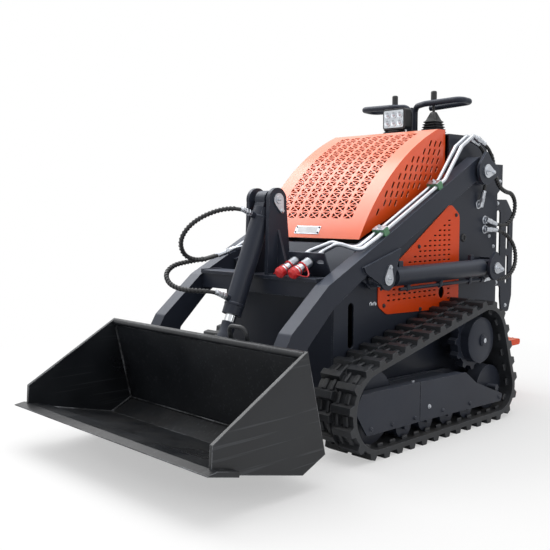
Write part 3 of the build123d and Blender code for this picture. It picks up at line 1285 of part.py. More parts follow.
# columns: name, route
HOSE_ROWS = (
    ("tilt_hose_upper", (
        by_tilt_barrel(TILT_PORTS[0], PORT_FACE), by_tilt_barrel(TILT_PORTS[0], PORT_FACE + 42),
        (940, -38, 866), (994, -88, 842), (1038, -130, 800), (1056, -156, 744), (1026, -166, 690),
        (966, -154, 672), (908, -130, 688), (858, -108, 708))),
    ("tilt_hose_lower", (
        by_tilt_barrel(TILT_PORTS[1], PORT_FACE), by_tilt_barrel(TILT_PORTS[1], PORT_FACE + 42),
        (1056, -34, 576), (1094, -84, 578), (1114, -140, 594), (1100, -184, 630), (1052, -200, 658),
        (996, -190, 668), (940, -170, 676), (892, -148, 690), (850, -129, 705))),
    ("arm_hose_inner", (
        (-92, TUBE_Y[0], 1146), (-158, 327, 1125), (-200, 325, 1075), (-214, 321, 1010), (-212, 314, 948),
        (-205, 306, 893))),
    ("arm_hose_outer", (
        (-92, TUBE_Y[1], 1146), (-158, 357, 1125), (-202, 357, 1074), (-218, 356, 1012), (-262, 353, 958),
        (-325, 349, 936), (-383, 345, 932), (-424, 340, 891), (-424, 334, 833), (-383, 326, 792),
        (-325, 316, 792), (-268, 306, 812))),
    ("lift_hose_left", (
        (-268, 306, 775), (-325, 318, 772), (-388, 330, 744), (-434, 338, 690), (-436, 342, 620),
        (-388, 342, 573), (-325, 342, 558), under_lift_barrel(LIFT_PIPE_END - 70),
        under_lift_barrel(LIFT_PIPE_END))),
)


def bend_radii(points):
    """The radius of each bend, as large as its runs allow."""
    radii = []
    for a, b, c in zip(points, points[1:], points[2:]):
        run_in = Vector(*b) - Vector(*a)
        run_out = Vector(*c) - Vector(*b)
        turn = radians(run_in.get_angle(run_out))
        radii.append(0.45 * min(run_in.length, run_out.length) * cos(turn / 2) / sin(turn / 2))
    return radii


for name, points in HOSE_ROWS:
    radii = bend_radii(points)
    hose = sweep_round(in_place(points), radii, HOSE_R)
    print(name, "bends", [round(radius) for radius in radii])
    finish(hose, name)

# Wall fittings that the three rear hoses end at
ends = dict(HOSE_ROWS)
# columns: hose's end point, the point before it
FITTING_ROWS = (
    (ends["arm_hose_inner"][-1], ends["arm_hose_inner"][-2]),
    (ends["arm_hose_outer"][-1], ends["arm_hose_outer"][-2]),
    (ends["lift_hose_left"][0], ends["lift_hose_left"][1]),
)
with BuildPart() as fittings:
    for end, before in FITTING_ROWS:
        end_at, before_at = in_place([end, before])
        way = (Vector(*end_at) - Vector(*before_at)).normalized()
        with BuildSketch(Plane(origin=end_at, z_dir=way)):
            Circle(FITTING_R)
        extrude(amount=FITTING_LENGTH)
        stem = Vector(*end_at) + way * (FITTING_LENGTH - FITTING_R)
        with BuildSketch(Plane(origin=(stem.X, WALL_OUT, stem.Z), z_dir=(0, 1, 0))):
            Circle(FITTING_R - 1)
        extrude(amount=stem.Y - WALL_OUT)
finish(fittings.part, "hose_fittings")

# Steel tubes from the tilt hoses to nuts on the tower's right plate
PLATE_FACE_Y = -(TOWER_IN + TOWER_PLATE)
TILT_NUT = 12.0
# columns: hose, forward of the axle and height of the nut
TILT_TUBE_ROWS = (("tilt_hose_upper", 808.0, 722.0), ("tilt_hose_lower", 786.0, 748.0))
with BuildPart() as tilt_tubes:
    for name, nut_x, nut_z in TILT_TUBE_ROWS:
        before_at, end_at = in_place(ends[name][-2:])
        way = (Vector(*end_at) - Vector(*before_at)).normalized()
        straight = Vector(*end_at) + way * (FITTING_LENGTH + 6)
        nut_y = PLATE_FACE_Y - TILT_NUT
        tail = in_place([(nut_x, nut_y - TILT_NUT, nut_z), (nut_x, nut_y, nut_z)])
        add(sweep_round([end_at, tuple(straight), *tail], [TILT_TUBE_R, TILT_TUBE_R], TILT_TUBE_R))
        with BuildSketch(Plane(origin=end_at, z_dir=way)):
            Circle(FITTING_R - 1)
        extrude(amount=FITTING_LENGTH)
        with BuildSketch(Plane(origin=(AXLE_X + nut_x, PLATE_FACE_Y, nut_z), z_dir=(0, -1, 0))):
            Circle(FITTING_R + 1)
        extrude(amount=TILT_NUT)
finish(tilt_tubes.part, "tilt_tubes")
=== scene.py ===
# %% [markdown]
# # A tracked mini loader, dressed from its solids
#
# The machine's solids come ready from CAD, each as a mesh object in the CAD frame.
# This lesson adds what the solids leave out: the hoses' smooth lines, the finishes, and the small
# pieces such as bolts, a plate and the lamp's diodes. Everything is in metres in the CAD frame, so
# a piece is put where the drawing says and needs no fitting.

# %% Load the solids
import json
from math import cos, pi, radians, sin, tau

import bmesh
import bpy
from mathutils import Matrix, Vector


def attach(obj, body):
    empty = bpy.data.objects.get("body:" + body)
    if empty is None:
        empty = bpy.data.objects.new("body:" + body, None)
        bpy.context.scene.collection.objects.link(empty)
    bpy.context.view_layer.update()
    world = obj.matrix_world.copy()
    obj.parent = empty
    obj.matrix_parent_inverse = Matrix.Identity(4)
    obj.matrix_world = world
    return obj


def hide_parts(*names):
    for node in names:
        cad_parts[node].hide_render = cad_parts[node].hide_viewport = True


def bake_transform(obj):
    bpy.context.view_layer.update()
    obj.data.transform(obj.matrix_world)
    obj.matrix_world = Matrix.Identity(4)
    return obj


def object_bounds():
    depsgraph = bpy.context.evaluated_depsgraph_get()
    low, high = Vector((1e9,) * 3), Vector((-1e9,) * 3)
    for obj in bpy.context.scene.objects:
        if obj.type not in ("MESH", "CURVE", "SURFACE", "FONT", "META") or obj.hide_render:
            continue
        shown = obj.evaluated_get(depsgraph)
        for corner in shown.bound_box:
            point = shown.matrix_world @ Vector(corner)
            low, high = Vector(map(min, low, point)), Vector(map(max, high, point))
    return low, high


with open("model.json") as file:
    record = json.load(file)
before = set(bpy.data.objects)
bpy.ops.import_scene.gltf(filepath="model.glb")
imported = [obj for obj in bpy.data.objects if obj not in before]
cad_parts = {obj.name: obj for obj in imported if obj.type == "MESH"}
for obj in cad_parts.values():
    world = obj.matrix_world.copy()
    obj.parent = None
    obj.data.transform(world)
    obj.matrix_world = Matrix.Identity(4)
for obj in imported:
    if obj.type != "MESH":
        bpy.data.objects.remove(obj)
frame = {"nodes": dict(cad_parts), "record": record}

cad_box = [[float(v) for v in corner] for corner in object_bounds()]
AXLE_X = -0.454


def at(x, y, z):
    """A point given in millimetres from the sprocket's axle, in the scene's metres."""
    return Vector((AXLE_X + x / 1000, y / 1000, z / 1000))


print("CAD box", cad_box)

# %% [markdown]
# ## Camera
#
# The photograph was taken from the front left at chest height with a normal lens. The camera's place
# was found from the track's length, the bucket's width and the height of the arms. A camera could be
# aimed with a constraint, but a plain rotation from a direction keeps the scene free of helpers.

# %% Camera
def placed(name, data):
    """An object in the scene from its data."""
    made = bpy.data.objects.new(name, data)
    bpy.context.collection.objects.link(made)
    return made


LENS_MM = 53.0
SENSOR_MM = 36.0
CAMERA_PLACE = (2.3839, 2.1928, 0.865)
HEADING = radians(46.07)
PITCH = radians(4.69)
camera_data = bpy.data.cameras.new("camera")
camera_data.lens = LENS_MM
camera_data.sensor_width = SENSOR_MM
camera = placed("camera", camera_data)
camera.location = CAMERA_PLACE
look = Vector((-cos(HEADING) * cos(PITCH), -sin(HEADING) * cos(PITCH), -sin(PITCH)))
camera.rotation_euler = look.to_track_quat("-Z", "Y").to_euler()
bpy.context.scene.camera = camera
print("camera looks along", [round(v, 3) for v in look])

# %% [markdown]
# ## Hoses
#
# Five rubber hoses run between bodies that move against each other. A hose is one smooth line, so each
# route is the control points of a NURBS curve. The order and the end rule are set after the points
# are added, because a new spline clamps them. A bevelled curve would do for a fixed hose; these cross a
# joint, and here the tube is read off the curve as a mesh.

# %% Hose lines
HOSE_R = 0.007
TUBE_STEPS = 14  # points to a span of a hose's tube
LINE_STEPS = 90  # points to a span of its bare line
TUBE_ROUNDNESS = 5
SHARP_ANGLE = radians(38)
# columns: name, first body, second body, start of the bend, end of the bend, route
HOSES = (
    ("tilt_hose_upper", "tilt_barrel", "arms", (886, 0, 863), (908, -130, 688), (
        (847.3, 0, 847.0), (886, 0, 863.3), (940, -38, 866), (994, -88, 842), (1038, -130, 800),
        (1056, -156, 744), (1026, -166, 690), (966, -154, 672), (908, -130, 688), (858, -108, 708))),
    ("tilt_hose_lower", "tilt_barrel", "arms", (1010, 0, 569), (892, -148, 690), (
        (970.8, 0, 552.9), (1009.5, 0, 569.1), (1056, -34, 576), (1094, -84, 578), (1114, -140, 594),
        (1100, -184, 630), (1052, -200, 658), (996, -190, 668), (940, -170, 676), (892, -148, 690),
        (850, -129, 705))),
    ("arm_hose_inner", "chassis", "arms", (-212, 314, 940), (-150, 327, 1128), (
        (-92, 327, 1146), (-158, 327, 1125), (-200, 325, 1075), (-214, 321, 1010), (-212, 314, 948),
        (-205, 306, 893))),
    ("arm_hose_outer", "chassis", "arms", (-280, 310, 830), (-140, 357, 1131), (
        (-92, 357, 1146), (-158, 357, 1125), (-202, 357, 1074), (-218, 356, 1012), (-262, 353, 958),
        (-325, 349, 936), (-383, 345, 932), (-424, 340, 891), (-424, 334, 833), (-383, 326, 792),
        (-325, 316, 792), (-268, 306, 812))),
    ("lift_hose_left", "chassis", "lift_barrel_left", (-330, 318, 770), (-240, 342, 567), (
        (-268, 306, 775), (-325, 318, 772), (-388, 330, 744), (-434, 338, 690), (-436, 342, 620),
        (-388, 342, 573), (-325, 342, 558), (-237.4, 342, 567.4), (-167.4, 342, 566.9))),
)


def read_line(name, route, bevel, smooth):
    """The route's smooth line as a mesh: bare points, or a tube where a bevel is given."""
    data = bpy.data.curves.new(name, "CURVE")
    data.dimensions = "3D"
    data.resolution_u = smooth
    data.bevel_depth = bevel
    data.bevel_resolution = TUBE_ROUNDNESS
    data.use_fill_caps = bevel > 0
    spline = data.splines.new("NURBS")
    spline.points.add(len(route) - 1)
    for point, place in zip(spline.points, route):
        point.co = (*at(*place), 1)
    spline.order_u = 3
    spline.use_endpoint_u = True
    line = bpy.data.objects.new(name, data)
    mesh = bpy.data.meshes.new_from_object(line)
    bpy.data.objects.remove(line)
    bpy.data.curves.remove(data)
    return mesh


def show(name, mesh, finish):
    """A piece in the scene from a mesh, smooth where its faces meet gently."""
    mesh.polygons.foreach_set("use_smooth", [True] * len(mesh.polygons))
    mesh.set_sharp_from_angle(angle=SHARP_ANGLE)
    mesh.materials.clear()
    mesh.materials.append(finish)
    piece = placed(name, mesh)
    return piece


# %% [markdown]
# ## Shared effects
#
# Paint chips along edges, dust settles on what faces up, and every sprayed or moulded skin has a fine
# grain. Each effect is used by several finishes, so each is a node group with named sockets, made once
# and placed where it is needed. The groups give only masks, heights and rounded normals; each shader
# stays in its own material.

# %% Node helpers
def put(tree, kind, values=(), **settings):
    """A shader node in a tree, with its settings and the values of its sockets."""
    made = tree.nodes.new(f"ShaderNode{kind}")
    for key, value in settings.items():
        setattr(made, key, value)
    for key, value in dict(values).items():
        made.inputs[key].default_value = value
    return made


def new_group(name, inputs, outputs):
    """An empty node group with named number sockets."""
    group = bpy.data.node_groups.new(name, "ShaderNodeTree")
    for socket, value in inputs:
        made = group.interface.new_socket(socket, in_out="INPUT", socket_type="NodeSocketFloat")
        made.default_value = value
    for socket in outputs:
        kind = "NodeSocketVector" if socket == "Normal" else "NodeSocketFloat"
        group.interface.new_socket(socket, in_out="OUTPUT", socket_type=kind)
    return group, group.nodes.new("NodeGroupInput"), group.nodes.new("NodeGroupOutput")


def wire(tree, *links):
    """Links in a tree, each given as a node, its output, the next node and that node's input."""
    for source, output, target, socket in links:
        tree.links.new(source.outputs[output], target.inputs[socket])


# %% Edge wear
edge_wear, enter, leave = new_group("edge_wear", (("Width", 0.003), ("Patches", 30.0)), ("Mask", "Normal"))
round_off = put(edge_wear, "Bevel", samples=4)
flat_face = put(edge_wear, "NewGeometry")
spot = put(edge_wear, "TexCoord")
turn = put(edge_wear, "VectorMath", operation="DOT_PRODUCT")
edge = put(edge_wear, "MapRange", {"From Min": 0.995, "From Max": 0.9})
patch = put(edge_wear, "TexNoise", {"Detail": 4.0, "Roughness": 0.7})
broken = put(edge_wear, "MapRange", {"From Min": 0.42, "From Max": 0.62})
both = put(edge_wear, "Math", operation="MULTIPLY")
wire(edge_wear,
     (enter, "Width", round_off, "Radius"), (round_off, "Normal", turn, 0), (flat_face, "Normal", turn, 1),
     (turn, "Value", edge, "Value"), (spot, "Object", patch, "Vector"), (enter, "Patches", patch, "Scale"),
     (patch, "Fac", broken, "Value"), (edge, "Result", both, 0), (broken, "Result", both, 1),
     (both, "Value", leave, "Mask"), (round_off, "Normal", leave, "Normal"))

# %% Dust
dust, enter, leave = new_group("dust", (("Top", 0.6), ("Patches", 9.0)), ("Mask",))
ground = put(dust, "TexCoord")
lean = put(dust, "SeparateXYZ")
place = put(dust, "SeparateXYZ")
up = put(dust, "MapRange", {"From Min": -0.2, "From Max": 0.95})
low = put(dust, "MapRange", {"From Max": 0.0})
patch = put(dust, "TexNoise", {"Detail": 6.0, "Roughness": 0.65})
clumps = put(dust, "MapRange", {"From Min": 0.36, "From Max": 0.68})
settled = put(dust, "Math", operation="MULTIPLY")
shown = put(dust, "Math", operation="MULTIPLY")
wire(dust,
     (ground, "Normal", lean, 0), (ground, "Object", place, 0), (lean, "Z", up, "Value"),
     (place, "Z", low, "Value"), (enter, "Top", low, "From Min"), (ground, "Object", patch, "Vector"),
     (enter, "Patches", patch, "Scale"), (patch, "Fac", clumps, "Value"), (up, "Result", settled, 0),
     (low, "Result", settled, 1), (settled, "Value", shown, 0), (clumps, "Result", shown, 1),
     (shown, "Value", leave, "Mask"))

# %% Skin grain
grain, enter, leave = new_group("skin_grain", (("Fine", 900.0), ("Broad", 6.0)), ("Height", "Cloud"))
where = put(grain, "TexCoord")
fine = put(grain, "TexNoise", {"Detail": 3.0, "Roughness": 0.6})
broad = put(grain, "TexNoise", {"Detail": 4.0, "Roughness": 0.55})
for source, texture, output in (("Fine", fine, "Height"), ("Broad", broad, "Cloud")):
    wire(grain, (where, "Object", texture, "Vector"), (enter, source, texture, "Scale"),
         (texture, "Fac", leave, output))

# %% Scratches
scratches, enter, leave = new_group("scratches", (("Along", 3.0), ("Across", 160.0)), ("Mask",))
where = put(scratches, "TexCoord")
lengths = put(scratches, "CombineXYZ")
stretch = put(scratches, "VectorMath", operation="MULTIPLY")
streak = put(scratches, "TexNoise", {"Scale": 1.0, "Detail": 2.0})
thin = put(scratches, "MapRange", {"From Min": 0.61, "From Max": 0.70})
wire(scratches,
     (enter, "Along", lengths, "X"), (enter, "Across", lengths, "Y"), (enter, "Across", lengths, "Z"),
     (where, "Object", stretch, 0), (lengths, "Vector", stretch, 1), (stretch, "Vector", streak, "Vector"),
     (streak, "Fac", thin, "Value"), (thin, "Result", leave, "Mask"))
print("node groups", sorted(g.name for g in bpy.data.node_groups))

# %% [markdown]
# ## Finishes
#
# The bodywork is sprayed in orange and slate grey, the bucket in a glossy black. Paint here is a base
# colour with a slow cloud in it, a fine orange-peel bump, chipped edges and some dust. The bare metals are
# the chromed rods and the zinc-plated tubes and fasteners, and the rest is rubber and moulded plastic.
# The paints' tops carry a painted sheen for the light from above, and the hood's orange is a lit copy,
# brighter and with a stronger painted sheen. Patterns are laid in each piece's own coordinates, so they
# move with it.

# %% Finish helpers
def colour(red, green, blue):
    """A colour given as it looks on a screen, in the renderer's linear numbers."""
    parts = [c / 255 for c in (red, green, blue)]
    return (*[p / 12.92 if p <= 0.04045 else ((p + 0.055) / 1.055) ** 2.4 for p in parts], 1.0)


def finish(name, **values):
    """A material with its shader's plain values, and the tree to build on."""
    made = bpy.data.materials.new(name)
    made.use_nodes = True
    shader = made.node_tree.nodes["Principled BSDF"]
    for key, value in values.items():
        shader.inputs[key.replace("_", " ")].default_value = value
    print("finish", name)
    return made, made.node_tree, shader


def use(tree, group, **values):
    """A shared effect placed in a material's tree with its own values."""
    return put(tree, "Group", values, node_tree=group)


def tint(tree, mask, under, over):
    """A colour laid over another where a mask is white; either may come from a node."""
    mix = put(tree, "Mix", data_type="RGBA")
    tree.links.new(mask, mix.inputs["Factor"])
    for socket, value in (("A", under), ("B", over)):
        spot = [i for i in mix.inputs if i.name == socket and i.type == "RGBA"][0]
        if isinstance(value, tuple):
            spot.default_value = value
        else:
            tree.links.new(value, spot)
    return [o for o in mix.outputs if o.type == "RGBA"][0]


def between(tree, value, low, high, start=0.0, stop=1.0):
    """A number that runs from low to high as a node's value goes from start to stop."""
    made = put(tree, "MapRange",
               {"From Min": start, "From Max": stop, "To Min": low, "To Max": high})
    tree.links.new(value, made.inputs["Value"])
    return made.outputs["Result"]


def bump(tree, shader, height, depth, strength, rounded=None):
    """A bump from a height onto a shader's normal, over edges that a group has rounded."""
    made = put(tree, "Bump", {"Strength": strength, "Distance": depth})
    tree.links.new(height, made.inputs["Height"])
    if rounded:
        tree.links.new(rounded, made.inputs["Normal"])
    tree.links.new(made.outputs["Normal"], shader.inputs["Normal"])


# %% Finish layers
CLOUD_SPAN = (0.3, 0.7)
DIRT = colour(128, 122, 114)


def clouded(tree, skin, low=0.0, high=1.0):
    """The skin's slow cloud, stretched to run from low to high."""
    return between(tree, skin.outputs["Cloud"], low, high, *CLOUD_SPAN)


def laid(tree, effect, amount, under, over):
    """A colour laid over another by some amount where a shared effect's mask is white."""
    return tint(tree, between(tree, effect.outputs["Mask"], 0.0, amount), under, over)


def dress(tree, shader, base, rough):
    """A colour and a roughness from nodes, put on a shader."""
    tree.links.new(base, shader.inputs["Base Color"])
    tree.links.new(rough, shader.inputs["Roughness"])


# %% Sprayed paint
PAINT_CHIP = 0.0016


def sprayed_paint(name, light, deep, primer, painted_top_sheen, rough, shine, coat, dust_top):
    """Sprayed paint: a clouded colour with a painted sheen on top, chips on edges, dust, and orange peel.
    """
    made, tree, shader = finish(name, Specular_IOR_Level=shine, Coat_Weight=coat, Coat_Roughness=0.2)
    skin = use(tree, grain, Fine=420.0, Broad=4.0)
    chips = use(tree, edge_wear, Width=PAINT_CHIP, Patches=26.0)
    dirty = use(tree, dust, Top=dust_top, Patches=7.0)
    sky = put(tree, "TexCoord")
    upward = put(tree, "SeparateXYZ")
    wire(tree, (sky, "Normal", upward, 0))
    fresh = tint(tree, clouded(tree, skin), deep, light)
    # Faces that look up are mixed toward the colour for the tops: a painted sheen for the light from above,
    # not fading.
    sheen_on_top = tint(tree, between(tree, upward.outputs["Z"], 0.0, 0.75, 0.3, 0.95), fresh, painted_top_sheen)
    final = laid(tree, dirty, 0.3, laid(tree, chips, 0.7, sheen_on_top, primer), DIRT)
    dress(tree, shader, final, between(tree, dirty.outputs["Mask"], rough, rough + 0.25))
    bump(tree, shader, skin.outputs["Height"], 0.0004, 0.3, chips.outputs["Normal"])
    return made


# In each paint the colour for the tops is a painted sheen, laid on faces that look up.
orange_paint = sprayed_paint(
    "sprayed_orange", light=colour(234, 75, 8), deep=colour(225, 68, 6), primer=colour(246, 170, 132),
    painted_top_sheen=colour(240, 108, 48), rough=0.36, shine=0.2, coat=0.15, dust_top=0.45)
# The hood's orange is a lit copy of the body orange: its brighter colours and stronger painted sheen stand
# in for the light on the hood.
hood_paint = sprayed_paint(
    "hood_orange_painted_light", light=colour(247, 88, 24), deep=colour(240, 80, 19), primer=colour(250, 180, 144),
    painted_top_sheen=colour(252, 158, 124), rough=0.36, shine=0.4, coat=0.60, dust_top=0.45)
grey_paint = sprayed_paint(
    "sprayed_slate", light=colour(42, 47, 58), deep=colour(36, 40, 51), primer=colour(150, 154, 162),
    painted_top_sheen=colour(88, 94, 107), rough=0.40, shine=0.20, coat=0.06, dust_top=0.40)


# %% Bucket black
def bucket_black():
    """Glossy black on the bucket: scratched by what it digs, and bare at its edges."""
    made, tree, shader = finish("bucket_black", Specular_IOR_Level=0.3, Coat_Weight=0.15,
                                Coat_Roughness=0.12)
    skin = use(tree, grain, Fine=500.0, Broad=5.0)
    chips = use(tree, edge_wear, Width=0.0040, Patches=14.0)
    marks = use(tree, scratches, Along=2.5, Across=120.0)
    dirty = use(tree, dust, Top=0.30, Patches=8.0)
    fresh = tint(tree, clouded(tree, skin), colour(22, 24, 28), colour(30, 33, 37))
    marked = laid(tree, marks, 0.14, fresh, colour(120, 124, 130))
    worn = laid(tree, chips, 0.85, marked, colour(170, 174, 180))
    dress(tree, shader, laid(tree, dirty, 0.10, worn, DIRT), clouded(tree, skin, 0.26, 0.44))
    bump(tree, shader, skin.outputs["Height"], 0.0005, 0.3, chips.outputs["Normal"])
    return made


bucket_paint = bucket_black()


# %% Rubber
def rubber(name, dark, pale, rough, depth, dust_top):
    """Moulded rubber: near black, a little bloomed, with a rough skin and dust."""
    made, tree, shader = finish(name, Specular_IOR_Level=0.5)
    skin = use(tree, grain, Fine=260.0, Broad=16.0)
    rub = use(tree, edge_wear, Width=0.0035, Patches=40.0)
    dirty = use(tree, dust, Top=dust_top, Patches=14.0)
    bloom = tint(tree, clouded(tree, skin), dark, pale)
    rubbed = laid(tree, rub, 0.5, bloom, colour(104, 108, 116))
    dress(tree, shader, laid(tree, dirty, 0.16, rubbed, DIRT),
          between(tree, skin.outputs["Cloud"], rough - 0.08, rough + 0.1))
    bump(tree, shader, skin.outputs["Height"], depth, 0.4, rub.outputs["Normal"])
    return made


track_rubber = rubber("tread_rubber", dark=colour(26, 28, 31), pale=colour(38, 41, 46), rough=0.52,
                      depth=0.0010, dust_top=0.35)
black_rubber = rubber("soft_black", dark=colour(18, 19, 21), pale=colour(28, 29, 32), rough=0.46,
                      depth=0.0005, dust_top=0.05)


# %% Metals
def metal(name, base, dull, rough, lines, depth=0.0001):
    """Bare or plated metal: cloudy in colour and gloss, with fine lines from its making."""
    made, tree, shader = finish(name, Metallic=1.0)
    skin = use(tree, grain, Fine=380.0, Broad=22.0)
    marks = use(tree, scratches, Along=lines[0], Across=lines[1])
    cloud = clouded(tree, skin)
    dress(tree, shader, tint(tree, cloud, base, dull), between(tree, cloud, *rough))
    bump(tree, shader, marks.outputs["Mask"], depth, 0.3)
    return made


rod_chrome = metal("polished_chrome", colour(214, 217, 220), colour(200, 203, 207),
                   rough=(0.07, 0.14), lines=(400.0, 4.0))
zinc_steel = metal("plated_zinc", colour(204, 208, 214), colour(176, 180, 187),
                   rough=(0.24, 0.38), lines=(30.0, 160.0))
engine_iron = metal("cast_iron", colour(62, 63, 65), colour(48, 49, 51),
                    rough=(0.5, 0.65), lines=(60.0, 60.0), depth=0.0004)
lamp_lens = metal("lamp_face", colour(206, 210, 214), colour(184, 188, 194),
                  rough=(0.14, 0.22), lines=(90.0, 90.0), depth=0.0002)


# %% Moulded plastics
def plastic(name, body, pale, rough):
    """Moulded plastic: one colour through, with a faint cloud and a fine grain."""
    made, tree, shader = finish(name, Specular_IOR_Level=0.5)
    skin = use(tree, grain, Fine=600.0, Broad=30.0)
    rub = use(tree, edge_wear, Width=0.0012, Patches=60.0)
    cloud = tint(tree, clouded(tree, skin), body, pale)
    dress(tree, shader, laid(tree, rub, 0.4, cloud, pale),
          between(tree, skin.outputs["Cloud"], rough - 0.06, rough + 0.08))
    bump(tree, shader, skin.outputs["Height"], 0.0003, 0.3)
    return made


clamp_plastic = plastic("clamp_green", colour(74, 122, 88), colour(96, 146, 110), 0.45)
cap_plastic = plastic("cap_red", colour(196, 28, 34), colour(216, 48, 50), 0.36)
guard_plastic = plastic("guard_strip", colour(30, 31, 33), colour(48, 49, 52), 0.30)
FINISHES = {
    "orange_paint": orange_paint, "grey_paint": grey_paint, "bucket_paint": bucket_paint,
    "track_rubber": track_rubber, "black_rubber": black_rubber, "rod_chrome": rod_chrome,
    "zinc_steel": zinc_steel, "engine_iron": engine_iron, "clamp_plastic": clamp_plastic,
    "cap_plastic": cap_plastic, "lamp_lens": lamp_lens,
}
print("slots with a finish", sorted(FINISHES))

# %% [markdown]
# ## Painting the solids
#
# Each solid's record names the finish that it wears. The finish is put on the object rather than on its
# mesh, so the mesh stays exactly as it came from CAD.

# %% Paint the solids
def paint(node, made):
    """Put a finish on a CAD solid's object."""
    solid = frame["nodes"][node]
    if not solid.material_slots:
        solid.data.materials.append(made)
    for spot in solid.material_slots:
        spot.link = "OBJECT"
        spot.material = made


for row in frame["record"]["subparts"]:
    paint(row["node"], FINISHES[row["material_slot"]])
# The hood wears the lit copy of the orange, with its painted sheen.
paint("hood", hood_paint)

# %% [markdown]
# ## Hoses, their guards and their crimped ends
#
# A hose is black rubber with a zinc shell crimped on each end. All but the short inner one also wear a
# spiral guard, a flat plastic strip wound on. The strip follows the hose's own smooth line, turning as it
# goes; a shell is turned round the line's first or last few millimetres and stays on
# its body.

# %% Turned pieces
def along(place, way):
    """A frame at a point with its z along a direction."""
    return Matrix.Translation(place) @ Vector(way).to_track_quat("Z", "Y").to_matrix().to_4x4()


def loft(form, rings):
    """A closed skin through rings of the same number of points."""
    rings = [[form.verts.new(point) for point in ring] for ring in rings]
    count = len(rings[0])
    for low, high in zip(rings, rings[1:]):
        for i in range(count):
            form.faces.new((low[i], low[(i + 1) % count], high[(i + 1) % count], high[i]))
    form.faces.new(rings[-1])
    form.faces.new(list(reversed(rings[0])))


def turned(form, profile, frame_at, sides=24):
    """A round, or with few sides a flat-sided, solid from a profile of (along, radius)."""
    spokes = [(cos(tau * i / sides), sin(tau * i / sides)) for i in range(sides)]
    loft(form, [[frame_at @ Vector((radius * c, radius * s, reach)) for c, s in spokes]
                for reach, radius in profile])


def as_mesh(name, form):
    """A mesh from one being edited, with its faces turned outward."""
    bmesh.ops.recalc_face_normals(form, faces=form.faces)
    mesh = bpy.data.meshes.new(name)
    form.to_mesh(mesh)
    form.free()
    return mesh


def made_of(name, form, body, slot, finish_of=None):
    """A piece on a body from a mesh being edited, in its slot's finish unless another is given."""
    piece = show(name, as_mesh(name, form), finish_of or FINISHES[slot])
    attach(piece, body)
    print("made", name, "on", body)
    return piece


# %% Spiral guard
GUARD_PITCH = 0.013
GUARD_HALF = 0.00375
GUARD_TOP = HOSE_R + 0.0022
GUARD_FOOT = HOSE_R - 0.0003
GUARD_EASE = 0.001
GUARD_SHARE = (0.12, 0.86)
GUARD_SECTION = ((GUARD_FOOT, -GUARD_HALF), (GUARD_TOP, GUARD_EASE - GUARD_HALF),
                 (GUARD_TOP, GUARD_HALF - GUARD_EASE), (GUARD_FOOT, GUARD_HALF))


def spiral_guard(name, path, first, last):
    """A flat strip wound round a line, from one share of its length to another."""
    points = path[int(first * len(path)):int(last * len(path))]
    normal = (points[1] - points[0]).orthogonal().normalized()
    walked = 0.0
    rings = []
    for here, there in zip(points, points[1:]):
        way = (there - here).normalized()
        normal = (normal - way * normal.dot(way)).normalized()
        turn_now = tau * walked / GUARD_PITCH
        out = normal * cos(turn_now) + way.cross(normal) * sin(turn_now)
        rings.append([here + out * reach + way * side for reach, side in GUARD_SECTION])
        walked += (there - here).length
    form = bmesh.new()
    loft(form, rings)
    return show(name, as_mesh(name, form), guard_plastic)


# %% Crimped ends
SHELL = ((0.013, 0.0085), (0.014, 0.0105), (0.025, 0.0105), (0.026, 0.0092), (0.029, 0.0092),
         (0.030, 0.0100), (0.035, 0.0100), (0.036, 0.0091), (0.039, 0.0091), (0.040, 0.0100),
         (0.046, 0.0100), (0.049, 0.0078))
SHELL_NUT = ((0.0, 0.0105), (0.001, 0.0118), (0.012, 0.0118), (0.013, 0.0105))


def crimped_end(name, path, body):
    """The zinc shell and the hexagon nut on a hose's first end."""
    spot = along(path[0], (path[min(12, len(path) - 1)] - path[0]).normalized())
    form = bmesh.new()
    turned(form, SHELL, spot)
    turned(form, SHELL_NUT, spot, 6)
    return made_of(name, form, body, "zinc_steel")


# %% Make the hoses
def distance(path):
    """The length of a line of points."""
    return sum((b - a).length for a, b in zip(path, path[1:]))


for name, first_body, second_body, start, end, route in HOSES:
    tube = show(f"{name}_rubber", read_line(name, route, HOSE_R, TUBE_STEPS), black_rubber)
    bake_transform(tube)
    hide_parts(name)
    path = [v.co.copy() for v in read_line(name, route, 0.0, LINE_STEPS).vertices]
    ends = (second_body, first_body) if name.startswith("arm") else (first_body, second_body)
    parts = [crimped_end(f"{name}_crimp_start", path, ends[0]),
             crimped_end(f"{name}_crimp_end", path[::-1], ends[1])]
    if name != "arm_hose_inner":
        guard = spiral_guard(f"{name}_guard", path, *GUARD_SHARE)
        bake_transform(guard)
        parts.append(guard)
    print(name, "is", round(distance(path), 3), "m long")

# %% [markdown]
# ## Bolts
#
# Hexagon bolts hold the covers, the panels and the pins' keepers. One bolt is a chamfered hexagon on a
# round washer. The bolts of one row are turned into the same mesh, so a row is one piece on its body.

# %% Bolts
LEFT = Vector((0, 1, 0))
RIGHT = Vector((0, -1, 0))
UP = Vector((0, 0, 1))
DOWN = Vector((0, 0, -1))
BACK = Vector((-1, 0, 0))


def bolt(form, place, way, size):
    """A hexagon head on its washer, with its foot on a face."""
    spot = along(place, way)
    turned(form, ((-0.0005, size * 1.30), (size * 0.16, size * 1.30), (size * 0.22, size * 1.20)), spot, 20)
    turned(form, ((size * 0.2, size), (size * 0.72, size), (size * 0.86, size * 0.86)), spot, 6)


def both_sides(form, places, y, size):
    """Bolts at the same places on the machine's left and right faces."""
    for x, z in places:
        bolt(form, at(x, y, z), LEFT, size)
        bolt(form, at(x, -y, z), RIGHT, size)


